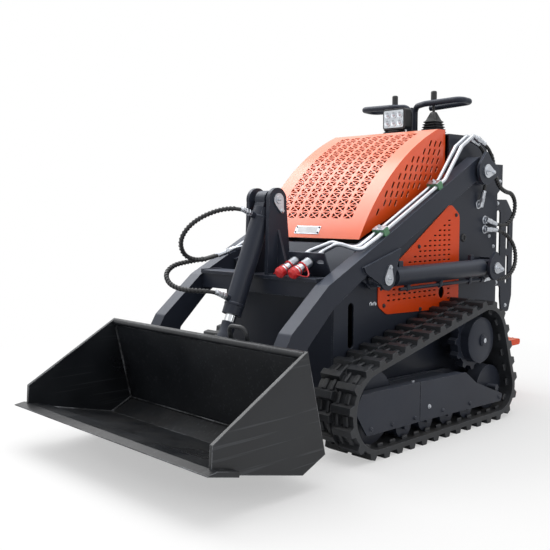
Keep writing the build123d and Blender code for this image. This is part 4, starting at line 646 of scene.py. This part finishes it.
# columns: name, slot, face's distance from the middle, size, places
BOLT_ROWS = (
    ("panel_bolts", "black_rubber", 294, 0.0065, (
        (-32, 838), (222, 716), (210, 468), (440, 500), (-36, 560), (456, 566))),
    ("cover_dark_bolts", "grey_paint", 465, 0.007, (
        (468, 107), (291, 104), (107, 100), (-112, 90), (600, 108), (716, 112))),
    ("cover_zinc_bolts", "zinc_steel", 465, 0.0065, ((380, 135),)),
    ("wall_bolts", "zinc_steel", 290, 0.0065, (
        (512, 512), (490, 511), (-294, 746), (-298, 1034), (-376, 985), (-330, 700), (-330, 600),
        (60, 928))),
)
for name, slot, y, size, places in BOLT_ROWS:
    form = bmesh.new()
    both_sides(form, places, y, size)
    made_of(name, form, "chassis", slot)
form = bmesh.new()
for y in (-441, 441):
    bolt(form, at(452, y, 234.3), UP, 0.0065)
made_of("flange_bolts", form, "chassis", "zinc_steel")
print("rows of bolts", len(BOLT_ROWS) + 1)

# %% Pin ends
def pin_end(form, pin, y, tail, radius):
    """A pin's turned end with its grease nipple, and the bolt through its keeper's tail."""
    for side, way in ((y, LEFT), (-y, RIGHT)):
        spot = along(at(pin[0], side, pin[1]), way)
        turned(form, ((-0.001, radius), (0.0015, radius), (0.0025, radius - 0.001)), spot, 28)
        turned(form, ((0.002, 0.0042), (0.005, 0.0042), (0.006, 0.0024), (0.010, 0.0024), (0.011, 0.0034),
                      (0.013, 0.0030)), spot, 10)
        bolt(form, at(pin[0] + tail[0], side, pin[1] + tail[1]), way, 0.007)


# columns: name, body, and for each pin: its place, its keeper's face and tail, its radius
PIN_ENDS = (
    ("chassis_pin_ends", "chassis", (
        ((-95, 1018), 403, (-42, -4), 0.019), ((-183, 617), 403, (-38, -8), 0.015))),
    ("arm_pin_ends", "arms", (
        ((527, 612), 388, (-6, 42), 0.015), ((770, 897), 68, (-16, -40), 0.015))),
)
for name, body, pins in PIN_ENDS:
    form = bmesh.new()
    for pin, y, tail, radius in pins:
        pin_end(form, pin, y, tail, radius)
    made_of(name, form, body, "zinc_steel")

# %% [markdown]
# ## Plates
#
# Thin plates with rounded corners sit on the hood and on the tube clamps. They are lofted from a few
# outlines of the same number of points, so the edge can be softened by one smaller outline on top.

# %% Layered pieces
def rounded(length, width, corner, steps=4):
    """A rounded rectangle's points, in order."""
    points = []
    for quarter, (sx, sy) in enumerate(((1, 1), (-1, 1), (-1, -1), (1, -1))):
        for i in range(steps + 1):
            turn_now = (quarter + i / steps) * pi / 2
            points.append((sx * (length / 2 - corner) + corner * cos(turn_now),
                           sy * (width / 2 - corner) + corner * sin(turn_now)))
    return points


def stack(form, spot, layers):
    """A solid lofted through outlines, each given with its height."""
    loft(form, [[spot @ Vector((x, y, height)) for x, y in outline] for height, outline in layers])


def facing(place, out, across):
    """A frame at a point, with z out of a face and x across it."""
    z = Vector(out).normalized()
    x = (Vector(across) - z * Vector(across).dot(z)).normalized()
    turn_to = Matrix((x, z.cross(x), z)).transposed().to_4x4()
    return Matrix.Translation(place) @ turn_to


def plate(form, spot, length, width, thick, corner):
    """A flat plate with a softened top edge."""
    soft = min(0.0008, thick / 2)
    outline = rounded(length, width, corner)
    stack(form, spot, ((-0.0006, outline), (thick - soft, outline),
                       (thick, rounded(length - 2 * soft, width - 2 * soft, corner - soft / 2))))


# %% Blank plate on the hood
plate_white = plastic("plate_white", colour(206, 208, 212), colour(226, 228, 232), 0.34)
HOOD_OUT = Vector((0.864, 0.0, 0.503))
spot = facing(at(549, 0, 782), HOOD_OUT, LEFT)
form = bmesh.new()
plate(form, spot, 0.132, 0.036, 0.0018, 0.004)
made_of("hood_plate", form, "hood", "zinc_steel")
form = bmesh.new()
plate(form, spot @ Matrix.Translation((0, 0, 0.0018)), 0.104, 0.026, 0.0008, 0.002)
made_of("hood_plate_field", form, "hood", "zinc_steel", plate_white)
form = bmesh.new()
for x in (-0.059, 0.059):
    for y in (-0.011, 0.011):
        turned(form, ((0.0, 0.0036), (0.0022, 0.0036), (0.0034, 0.0026), (0.0040, 0.0010)),
               spot @ Matrix.Translation((x, y, 0.001)), 14)
made_of("hood_plate_rivets", form, "hood", "black_rubber")

# %% Tube clamp plates
ARM_ALONG = Vector((0.887, 0.0, -0.4617))
ARM_OUT = Vector((0.4617, 0.0, 0.887))
form = bmesh.new()
for x, z in ((191.5, 953.6), (521.5, 781.9)):
    top = at(x, 342, z) + ARM_OUT * 0.014
    plate(form, facing(top, ARM_OUT, ARM_ALONG), 0.030, 0.050, 0.003, 0.003)
    bolt(form, top + ARM_OUT * 0.003, ARM_OUT, 0.0075)
    turned(form, ((0.006, 0.0035), (0.013, 0.0035), (0.014, 0.0028)), along(top, ARM_OUT), 12)
for y in (327, 357):
    end = along(at(-92, y, 1146), (0.953, 0, 0.303))
    turned(form, ((0.0, 0.0112), (0.001, 0.0128), (0.015, 0.0128), (0.016, 0.0112)), end, 6)
    turned(form, ((0.016, 0.0100), (0.030, 0.0100), (0.032, 0.0085)), end, 20)
made_of("tube_clamp_plates", form, "arms", "zinc_steel")

# %% [markdown]
# ## Couplers
#
# The two auxiliary couplers stand on their bracket with dust caps on. A ribbed grip sleeve slides on each
# body, and a red band with a moulded strap keeps the cap from being lost. The strap is a flat section
# carried along a few points, which is simpler than a curve and keeps its corners square.

# %% Coupler sleeves and straps
COUPLER_WAY = Vector((0.9063, 0.0, -0.4226))
BAND_SECTION = ((0.0, 0.0168), (0.0006, 0.0198), (0.005, 0.0198), (0.0056, 0.0168))
RIDGES, RIDGE_PITCH = 7, 0.0042
sleeves = bmesh.new()
bands = bmesh.new()
nuts = bmesh.new()
for y in (160, 225):
    rear = along(at(735, y, 697), COUPLER_WAY)
    ridges = []
    for i in range(RIDGES):
        ridges += [(0.045 + i * RIDGE_PITCH, 0.0172), (0.0475 + i * RIDGE_PITCH, 0.0186)]
    turned(sleeves, [(0.0435, 0.0165)] + ridges + [(0.076, 0.0165)], rear, 28)
    for start in (0.080, 0.1075):
        turned(bands, [(start + reach, radius) for reach, radius in BAND_SECTION], rear, 28)
    turned(nuts, ((0.004, 0.0140), (0.005, 0.0168), (0.023, 0.0168), (0.024, 0.0140)), rear, 6)
made_of("coupler_sleeves", sleeves, "arms", "zinc_steel")
made_of("coupler_bands", bands, "arms", "cap_plastic")
made_of("coupler_nuts", nuts, "arms", "zinc_steel")


def strap(form, points, wide, thick):
    """A flat moulded strap along points that lie on one body."""
    rings = []
    for i, here in enumerate(points):
        way = (points[min(i + 1, len(points) - 1)] - points[max(i - 1, 0)]).normalized()
        across = way.cross(UP).normalized()
        out = across.cross(way)
        rings.append([here + across * a * wide / 2 + out * b * thick / 2
                      for a, b in ((1, 1), (-1, 1), (-1, -1), (1, -1))])
    loft(form, rings)


STRAP_STEPS = 16
form = bmesh.new()
for y, side_way in ((160, RIGHT), (225, LEFT)):
    bow = []
    for i in range(STRAP_STEPS + 1):
        share = i / STRAP_STEPS
        swing = sin(pi * share)
        bow.append(at(735, y, 697) + COUPLER_WAY * (0.082 + 0.052 * share)
                   + side_way * (0.0195 + 0.030 * swing) + DOWN * (0.018 * swing))
    strap(form, bow, 0.0045, 0.0030)
made_of("cap_straps", form, "arms", "cap_plastic")

# %% [markdown]
# ## Fittings on the cylinders
#
# Only a short band of the bucket cylinder's rod is bright. Below it the rod is screwed into a dark clevis,
# turned here as a chamfered sleeve that rides on the rod and stays clear of the barrel as it slides out.
# The feed tube under each lift cylinder is clipped to the barrel by saddles, which ride on that barrel.

# %% Clevis and gland ring
TILT_WAY = Vector((0.386884, 0.0, -0.922129))
CLEVIS = ((0.474, 0.0203), (0.476, 0.0260), (0.520, 0.0260), (0.524, 0.0285), (0.566, 0.0285),
          (0.570, 0.0250))
RING_SECTION = ((0.0, 0.0362), (0.002, 0.0376), (0.010, 0.0376), (0.012, 0.0362))
tilt_line = along(at(770, 0, 897), TILT_WAY)
form = bmesh.new()
turned(form, CLEVIS, tilt_line, 32)
made_of("rod_clevis", form, "tilt_rod", "grey_paint")
form = bmesh.new()
for start in (0.070, 0.404):
    turned(form, [(start + reach, radius) for reach, radius in RING_SECTION], tilt_line, 40)
made_of("tilt_barrel_rings", form, "tilt_barrel", "grey_paint")

# %% Saddles under the lift cylinders
SADDLE = ((0.0, rounded(0.016, 0.014, 0.004)), (0.003, rounded(0.020, 0.020, 0.005)),
          (0.018, rounded(0.020, 0.022, 0.005)), (0.026, rounded(0.020, 0.030, 0.005)))
for side_name, y in (("left", 342), ("right", -342)):
    form = bmesh.new()
    for x in (-60, 150, 360):
        stack(form, Matrix.Translation(at(x, y, 556)), SADDLE)
        bolt(form, at(x, y, 556.4), DOWN, 0.005)
    made_of(f"tube_saddles_{side_name}", form, f"lift_barrel_{side_name}", "grey_paint")

# %% [markdown]
# ## Work lamp and lever boots
#
# Six diodes sit in bright cups behind the lamp's face, two rows of three, and a pleated boot closes the
# foot. The levers' boots stand well above the hood, with five pleats over the solids' own and a tapered
# cap.

# %% Work lamp
diode_face = plastic("diode_face", colour(176, 184, 196), colour(194, 202, 212), 0.45)
cups = bmesh.new()
diodes = bmesh.new()
for y in (-33, 0, 33):
    for z in (1233, 1267):
        spot = along(at(15.6, y, z), (1, 0, 0))
        turned(cups, ((0.0, 0.0155), (0.0024, 0.0155), (0.0026, 0.0140), (0.0006, 0.0080)), spot, 28)
        turned(diodes, ((0.0002, 0.0070), (0.0016, 0.0062), (0.0026, 0.0040), (0.0030, 0.0015)), spot, 20)
made_of("lamp_cups", cups, "chassis", "lamp_lens")
made_of("lamp_diodes", diodes, "chassis", "lamp_lens", diode_face)
form = bmesh.new()
layers = []
for i in range(4):
    wide = 0.088 - 0.008 * i
    layers += [(0.0085 * i, rounded(wide - 0.016, wide - 0.010, 0.012)),
               (0.0085 * i + 0.004, rounded(wide - 0.004, wide + 0.004, 0.014))]
layers.append((0.0345, rounded(0.044, 0.050, 0.010)))
stack(form, Matrix.Translation(at(-8, 0, 1168)), layers)
made_of("lamp_boot", form, "chassis", "black_rubber")

# %% Lever boots
layers = []
for i, wide in enumerate((0.088, 0.084, 0.080, 0.076, 0.071)):
    layers += [(0.011 * i, rounded(wide - 0.015, wide - 0.015, 0.010)),
               (0.011 * i + 0.0055, rounded(wide, wide, 0.012))]
layers += [(0.055, rounded(0.056, 0.056, 0.010)), (0.058, rounded(0.053, 0.053, 0.010)),
           (0.090, rounded(0.024, 0.024, 0.006)), (0.093, rounded(0.017, 0.017, 0.004))]
form = bmesh.new()
for y in (-105, 105):
    stack(form, Matrix.Translation(at(-130, y, 1190)), layers)
made_of("boot_pleats", form, "chassis", "black_rubber")

# %% [markdown]
# ## Tracks
#
# Between its lugs a rubber track has low ribs that tie the rows together, and guide horns stand on its
# inner face. Both repeat with the lugs, so the belt's loop is walked in code, and one block is put down at
# each step. The loop is three arcs round the wheels joined by straight runs.

# %% Walk the belt
# columns: forward of the axle, height, radius of the belt's inner face
WHEELS = ((-105.0, 128.0, 91.0), (672.0, 172.0, 135.0), (0.0, 337.0, 125.0))
LUGS = 35
ARC_STEPS = 40


def belt_loop(grow):
    """Points and outward directions round the loop, some millimetres outside the belt's inner face."""
    normals = []
    for (x1, z1, r1), (x2, z2, r2) in zip(WHEELS, WHEELS[1:] + WHEELS[:1]):
        run = Vector((x2 - x1, z2 - z1))
        lean = (r1 - r2) / run.length
        run.normalize()
        across = (1 - lean * lean) ** 0.5
        normals.append(Vector((run.x * lean + run.y * across, run.y * lean - run.x * across)))
    loop = []
    for i, (x, z, r) in enumerate(WHEELS):
        start = normals[i - 1]
        swing = start.angle_signed(normals[i])
        for step in range(ARC_STEPS + 1):
            way = Matrix.Rotation(-swing * step / ARC_STEPS, 2) @ start
            loop.append((Vector((x, z)) + way * (r + grow), way))
    return loop


def walk(loop, count, shift):
    """Evenly spaced places round a loop, each with its outward direction."""
    closed = loop + loop[:1]
    lengths = [(b[0] - a[0]).length for a, b in zip(closed, closed[1:])]
    places = []
    for i in range(count):
        left = (i + shift) * sum(lengths) / count % sum(lengths)
        for (a, way_a), (b, way_b), length in zip(closed, closed[1:], lengths):
            if left <= length:
                share = left / max(length, 1e-6)
                places.append((a.lerp(b, share), way_a.lerp(way_b, share).normalized()))
                break
            left -= length
    return places


def tread_block(form, place, way, y, size, sink, soft):
    """A low block on the belt, with its length along the belt and its edges eased."""
    length, width, height = size
    out = Vector((way.x, 0, way.y))
    spot = facing(at(place.x, y, place.y), out, (way.y, 0, -way.x))
    foot = rounded(length, width, 0.003, 2)
    stack(form, spot, ((-sink, foot), (height - soft, foot),
                       (height, rounded(length - 2 * soft, width - 2 * soft, 0.002, 2))))


# %% Tread ribs and guide horns
RIB = (0.040, 0.020, 0.008)
TIE = (0.044, 0.012, 0.010)
HORN = (0.030, 0.009, 0.013)
EASE = 0.003
RIB_SINK, HORN_SINK = 0.003, 0.002
BELT_THICK = 18.0
outer_loop = belt_loop(BELT_THICK)
inner_loop = belt_loop(0.0)
for name, side in (("left", 1), ("right", -1)):
    form = bmesh.new()
    # columns: shift along the belt in lugs, the rib's distance from the middle, the tie's
    for shift, rib_y, tie_y in ((0.5, 446, 408), (0.0, 328, 366)):
        for place, way in walk(outer_loop, LUGS, shift):
            tread_block(form, place, way, side * rib_y, RIB, RIB_SINK, EASE)
            tread_block(form, place, way, side * tie_y, TIE, RIB_SINK, EASE)
    made_of(f"tread_ribs_{name}", form, "chassis", "track_rubber")
    form = bmesh.new()
    for place, way in walk(inner_loop, LUGS, 0.25):
        tread_block(form, place, -way, side * 450, HORN, HORN_SINK, EASE)
    made_of(f"guide_horns_{name}", form, "chassis", "track_rubber")
print("blocks on each track", 5 * LUGS)

# %% Drive drums
form = bmesh.new()
nuts = bmesh.new()
for y, way in ((1, LEFT), (-1, RIGHT)):
    spot = along(at(0, y * 443, 337), way)
    turned(form, ((-0.004, 0.0905), (0.001, 0.0895), (0.0045, 0.0780), (0.0070, 0.0560), (0.0085, 0.0330),
                  (0.0085, 0.0250)), spot, 48)
    hub = along(at(0, y * 457, 337), way)
    turned(form, ((-0.002, 0.0200), (0.0015, 0.0200), (0.0025, 0.0185)), hub, 28)
    turned(nuts, ((0.002, 0.0105), (0.006, 0.0105), (0.007, 0.0090)), hub, 6)
made_of("drum_domes", form, "chassis", "grey_paint")
made_of("drum_hub_nuts", nuts, "chassis", "zinc_steel")

# %% [markdown]
# ## Welds
#
# The bucket's cheeks are welded to its wrap, the tower to the cross member, and that to the arms. A weld
# bead is a row of overlapping ripples, so it is turned as a thin rod whose radius swells at every few
# millimetres.

# %% Weld beads
BEAD_STEP = 0.0022


def bead(form, start, stop, radius):
    """A rippled weld bead along a straight seam."""
    run = stop - start
    steps = max(6, int(run.length / BEAD_STEP))
    profile = []
    for i in range(steps + 1):
        swell = 0.72 + 0.28 * abs(sin(i * pi / 3))
        profile.append((run.length * i / steps, radius * swell))
    turned(form, profile, along(start, run), 8)


SHEET = 8.0  # the wrap's thickness
BACK_RUN = 306.0  # the length of its back, and how that leans
BACK_X, BACK_Z = 0.2315, 0.973
form = bmesh.new()
inside = ((1018 + BACK_X * BACK_RUN + BACK_Z * SHEET, 104 + BACK_Z * BACK_RUN - BACK_X * SHEET),
          (1025 + BACK_Z * SHEET, 112), (1121 + 0.3 * SHEET, 60 + 0.95 * SHEET), (1394, 125 + SHEET))
for y in (-516, 516):
    for (x1, z1), (x2, z2) in zip(inside, inside[1:]):
        bead(form, at(x1, y, z1), at(x2, y, z2), 0.0045)
for x, z in inside[1:3]:
    bead(form, at(x, -515, z), at(x, 515, z), 0.0030)
made_of("bucket_welds", form, "bucket", "bucket_paint")
form = bmesh.new()
for y in (-62.5, 62.5):
    bead(form, at(735, y, 625), at(820, y, 625), 0.0042)
for y in (-310.5, 310.5):
    bead(form, at(728, y, 625), at(830, y, 625), 0.0042)
made_of("arm_welds", form, "arms", "grey_paint")

# %% [markdown]
# ## Platform tread
#
# The rider stands on a plate with raised grip bars, set at right angles in turn.

# %% Grip bars
GRIP_PITCH = 34
GRIP_BAR = ((-0.001, rounded(0.028, 0.007, 0.003, 2)), (0.0012, rounded(0.025, 0.0055, 0.0025, 2)),
            (0.0020, rounded(0.018, 0.0030, 0.0014, 2)))
form = bmesh.new()
for row in range(7):
    for column in range(16):
        spot = at(-582 + GRIP_PITCH * row, -255 + GRIP_PITCH * column, 259)
        swing = pi / 4 if (row + column) % 2 else -pi / 4
        stack(form, Matrix.Translation(spot) @ Matrix.Rotation(swing, 4, "Z"), GRIP_BAR)
made_of("platform_grip", form, "chassis", "orange_paint")

# %% [markdown]
# ## Rear wall and deck
#
# The rear isn't seen in the photograph. A machine of this kind has a bolted service panel above the
# platform and a pad for the rider's knees, and a key switch and an hour meter on the shelf. Only plain
# forms are given, with a blank dial. The wall also has a grommet for the hoses on each side.

# %% Rear panel and pad
form = bmesh.new()
spot = facing(at(-357, 0, 468), BACK, LEFT)
plate(form, spot, 0.400, 0.330, 0.0025, 0.018)
for row in range(6):
    rib = spot @ Matrix.Translation((0, -0.060 + 0.024 * row, 0.0025))
    stack(form, rib, ((-0.0005, rounded(0.210, 0.012, 0.006)), (0.0030, rounded(0.202, 0.006, 0.003)),
                      (0.0036, rounded(0.198, 0.003, 0.0014))))
made_of("service_panel", form, "chassis", "grey_paint")
form = bmesh.new()
for y in (-182, 0, 182):
    for z in (323, 613):
        bolt(form, at(-359.4, y, z), BACK, 0.0065)
made_of("service_panel_bolts", form, "chassis", "zinc_steel")
form = bmesh.new()
spot = facing(at(-357, 0, 770), BACK, LEFT)
stack(form, spot, (
    (-0.0005, rounded(0.420, 0.180, 0.030)), (0.010, rounded(0.424, 0.184, 0.032)),
    (0.020, rounded(0.418, 0.178, 0.030)), (0.026, rounded(0.404, 0.164, 0.026)),
    (0.028, rounded(0.380, 0.140, 0.020))))
made_of("knee_pad", form, "chassis", "black_rubber")

# %% Key switch and hour meter
form = bmesh.new()
dials = bmesh.new()
for y, radius in ((-150, 0.024), (-205, 0.013)):
    spot = along(at(-342, y, 1058), UP)
    turned(form, ((-0.001, radius), (0.004, radius), (0.006, radius * 0.92), (0.0035, radius * 0.82)),
           spot, 36)
    turned(dials, ((0.0, radius * 0.84), (0.0030, radius * 0.84), (0.0036, radius * 0.70)), spot, 36)
plate(form, facing(at(-342, -205, 1061), LEFT, UP), 0.030, 0.006, 0.002, 0.0015)
made_of("shelf_bezels", form, "chassis", "zinc_steel")
made_of("shelf_dials", dials, "chassis", "black_rubber", guard_plastic)

# %% Bulkhead nuts
FITTING_REACH = 0.011
WALL_Y = 0.290
form = bmesh.new()
for name, first_body, second_body, start, end, route in HOSES:
    if first_body == "chassis":
        tip, before = (route[-1], route[-2]) if name.startswith("arm") else (route[0], route[1])
        stem = at(*tip) + (at(*tip) - at(*before)).normalized() * FITTING_REACH
        stem.y = WALL_Y
        face = along(stem, LEFT)
        turned(form, ((-0.001, 0.0190), (0.002, 0.0190), (0.003, 0.0178)), face, 28)
        turned(form, ((0.002, 0.0140), (0.003, 0.0158), (0.011, 0.0158), (0.012, 0.0140)), face, 6)
for y, way in ((282, LEFT), (-282, RIGHT)):
    for x, z in ((-454, 428), (-372, 888), (-372, 536)):
        bolt(form, at(x, y, z), way, 0.007)
made_of("bulkhead_nuts", form, "chassis", "zinc_steel")

# %% Grommets
form = bmesh.new()
for y, way in ((290, LEFT), (-290, RIGHT)):
    spot = along(at(-92, y, 743), way)
    turned(form, ((-0.001, 0.0170), (0.003, 0.0170), (0.006, 0.0140), (0.006, 0.0090), (0.002, 0.0085)),
           spot, 28)
made_of("wall_grommets", form, "chassis", "black_rubber")

# %% [markdown]
# ## Engine
#
# The engine is a plain block, seen only through the grille and under the open hood. What shows there on a
# small petrol engine are cooling fins, a round air cleaner and a muffler, so these are laid on the block.

# %% Engine top
ENGINE_TOP_Z = 830
FINS, FIN_PITCH = 19, 17
FIN = ((-0.001, rounded(0.120, 0.006, 0.002, 2)), (0.012, rounded(0.116, 0.0045, 0.0015, 2)),
       (0.014, rounded(0.110, 0.0025, 0.001, 2)))
CLEANER = ((-0.001, 0.046), (0.012, 0.046), (0.014, 0.052), (0.018, 0.0535), (0.046, 0.0535),
           (0.050, 0.0500), (0.052, 0.0440), (0.0525, 0.0180), (0.056, 0.0160), (0.058, 0.0090))
MUFFLER = ((0.0, 0.026), (0.003, 0.036), (0.010, 0.040), (0.060, 0.040), (0.062, 0.042), (0.068, 0.042),
           (0.070, 0.040), (0.170, 0.040), (0.172, 0.042), (0.178, 0.042), (0.180, 0.040), (0.230, 0.040),
           (0.237, 0.036), (0.240, 0.026))
form = bmesh.new()
for i in range(FINS):
    stack(form, Matrix.Translation(at(250, -153 + FIN_PITCH * i, ENGINE_TOP_Z)), FIN)
for x, y in ((80, -160), (80, 160), (412, -160), (412, 160), (246, -168), (246, 168)):
    bolt(form, at(x, y, ENGINE_TOP_Z), UP, 0.008)
made_of("engine_fins", form, "chassis", "engine_iron")
form = bmesh.new()
turned(form, CLEANER, along(at(368, -70, ENGINE_TOP_Z), UP), 48)
made_of("air_cleaner", form, "chassis", "black_rubber")
form = bmesh.new()
turned(form, MUFFLER, along(at(130, -120, ENGINE_TOP_Z + 40), LEFT), 40)
for y in (-58, 52):
    foot = along(at(130, y, ENGINE_TOP_Z), UP)
    turned(form, ((-0.001, 0.014), (0.020, 0.014), (0.022, 0.012)), foot, 20)
made_of("muffler", form, "chassis", "engine_iron")

# %% [markdown]
# ## Stage
#
# A pale floor catches a soft shadow and a broad lamp hangs overhead. One on the far side puts a sheen on
# the hood, and two weak ones fill from the front and the near side. The world is white where the camera, a
# reflection or clear glass sees it, and softer as a light.

# %% Floor
def floor_finish():
    """Pale matt floor that stays near white in the picture and still takes a shadow."""
    made, tree, shader = finish("floor", Roughness=0.9)
    skin = use(tree, grain, Fine=60.0, Broad=0.6)
    pale = tint(tree, skin.outputs["Cloud"], colour(244, 244, 244), colour(248, 248, 248))
    tree.links.new(pale, shader.inputs["Base Color"])
    glow = put(tree, "Emission", {"Strength": 1.0})
    seen = put(tree, "LightPath")
    spot = put(tree, "NewGeometry")
    away = put(tree, "VectorMath", operation="LENGTH")
    share = put(tree, "Math", operation="MULTIPLY")
    mix = put(tree, "MixShader")
    wire(tree, (spot, "Position", away, 0), (seen, "Is Camera Ray", share, 0), (share, "Value", mix, "Fac"),
         (shader, "BSDF", mix, 1), (glow, "Emission", mix, 2),
         (mix, "Shader", tree.nodes["Material Output"], "Surface"))
    tree.links.new(between(tree, away.outputs["Value"], 0.45, 1.0, 0.9, 2.6), share.inputs[1])
    return made


FLOOR_R = 14.0
form = bmesh.new()
turned(form, ((-0.02, FLOOR_R), (0.0, FLOOR_R)), Matrix.Identity(4), 64)
floor_mesh = as_mesh("floor", form)
floor_mesh.materials.append(floor_finish())
floor = placed("floor", floor_mesh)
floor.location.z = cad_box[0][2]
print("floor at", round(floor.location.z, 4))

# %% Lamps and world
# columns: name, place, aim, width, power
for name, place, aim, width, power in (
        ("overhead", (0.1, 0.1, 4.2), (0.0, 0.0, 0.4), 4.5, 110.0),
        ("far_side", (0.3, -2.7, 3.4), (-0.1, 0.0, 0.8), 2.6, 70.0),
        ("front_fill", (3.4, -1.2, 2.4), (0.4, 0.0, 0.5), 2.5, 16.0),
        ("side_fill", (0.2, 4.2, 2.2), (0.0, 0.0, 0.6), 2.5, 22.0)):
    lamp_data = bpy.data.lights.new(name, "AREA")
    lamp_data.shape = "SQUARE"
    lamp_data.size = width
    lamp_data.energy = power
    lamp = placed(name, lamp_data)
    lamp.location = place
    lamp.rotation_euler = (Vector(aim) - Vector(place)).to_track_quat("-Z", "Y").to_euler()
    print("lamp", name, power, "W")

world = bpy.data.worlds.new("studio")
bpy.context.scene.world = world
world.use_nodes = True
air = world.node_tree
back = air.nodes["Background"]
seen = put(air, "LightPath")
white = put(air, "Math", operation="MAXIMUM")
clear = put(air, "Math", operation="MAXIMUM")
level = put(air, "MapRange", {"To Min": 0.4, "To Max": 1.0})
wire(air, (seen, "Is Camera Ray", white, 0), (seen, "Is Glossy Ray", white, 1), (white, "Value", clear, 0),
     (seen, "Is Transmission Ray", clear, 1), (clear, "Value", level, "Value"),
     (level, "Result", back, "Strength"))
back.inputs["Color"].default_value = (1.0, 1.0, 1.0, 1.0)
bpy.context.scene.view_settings.view_transform = "Standard"
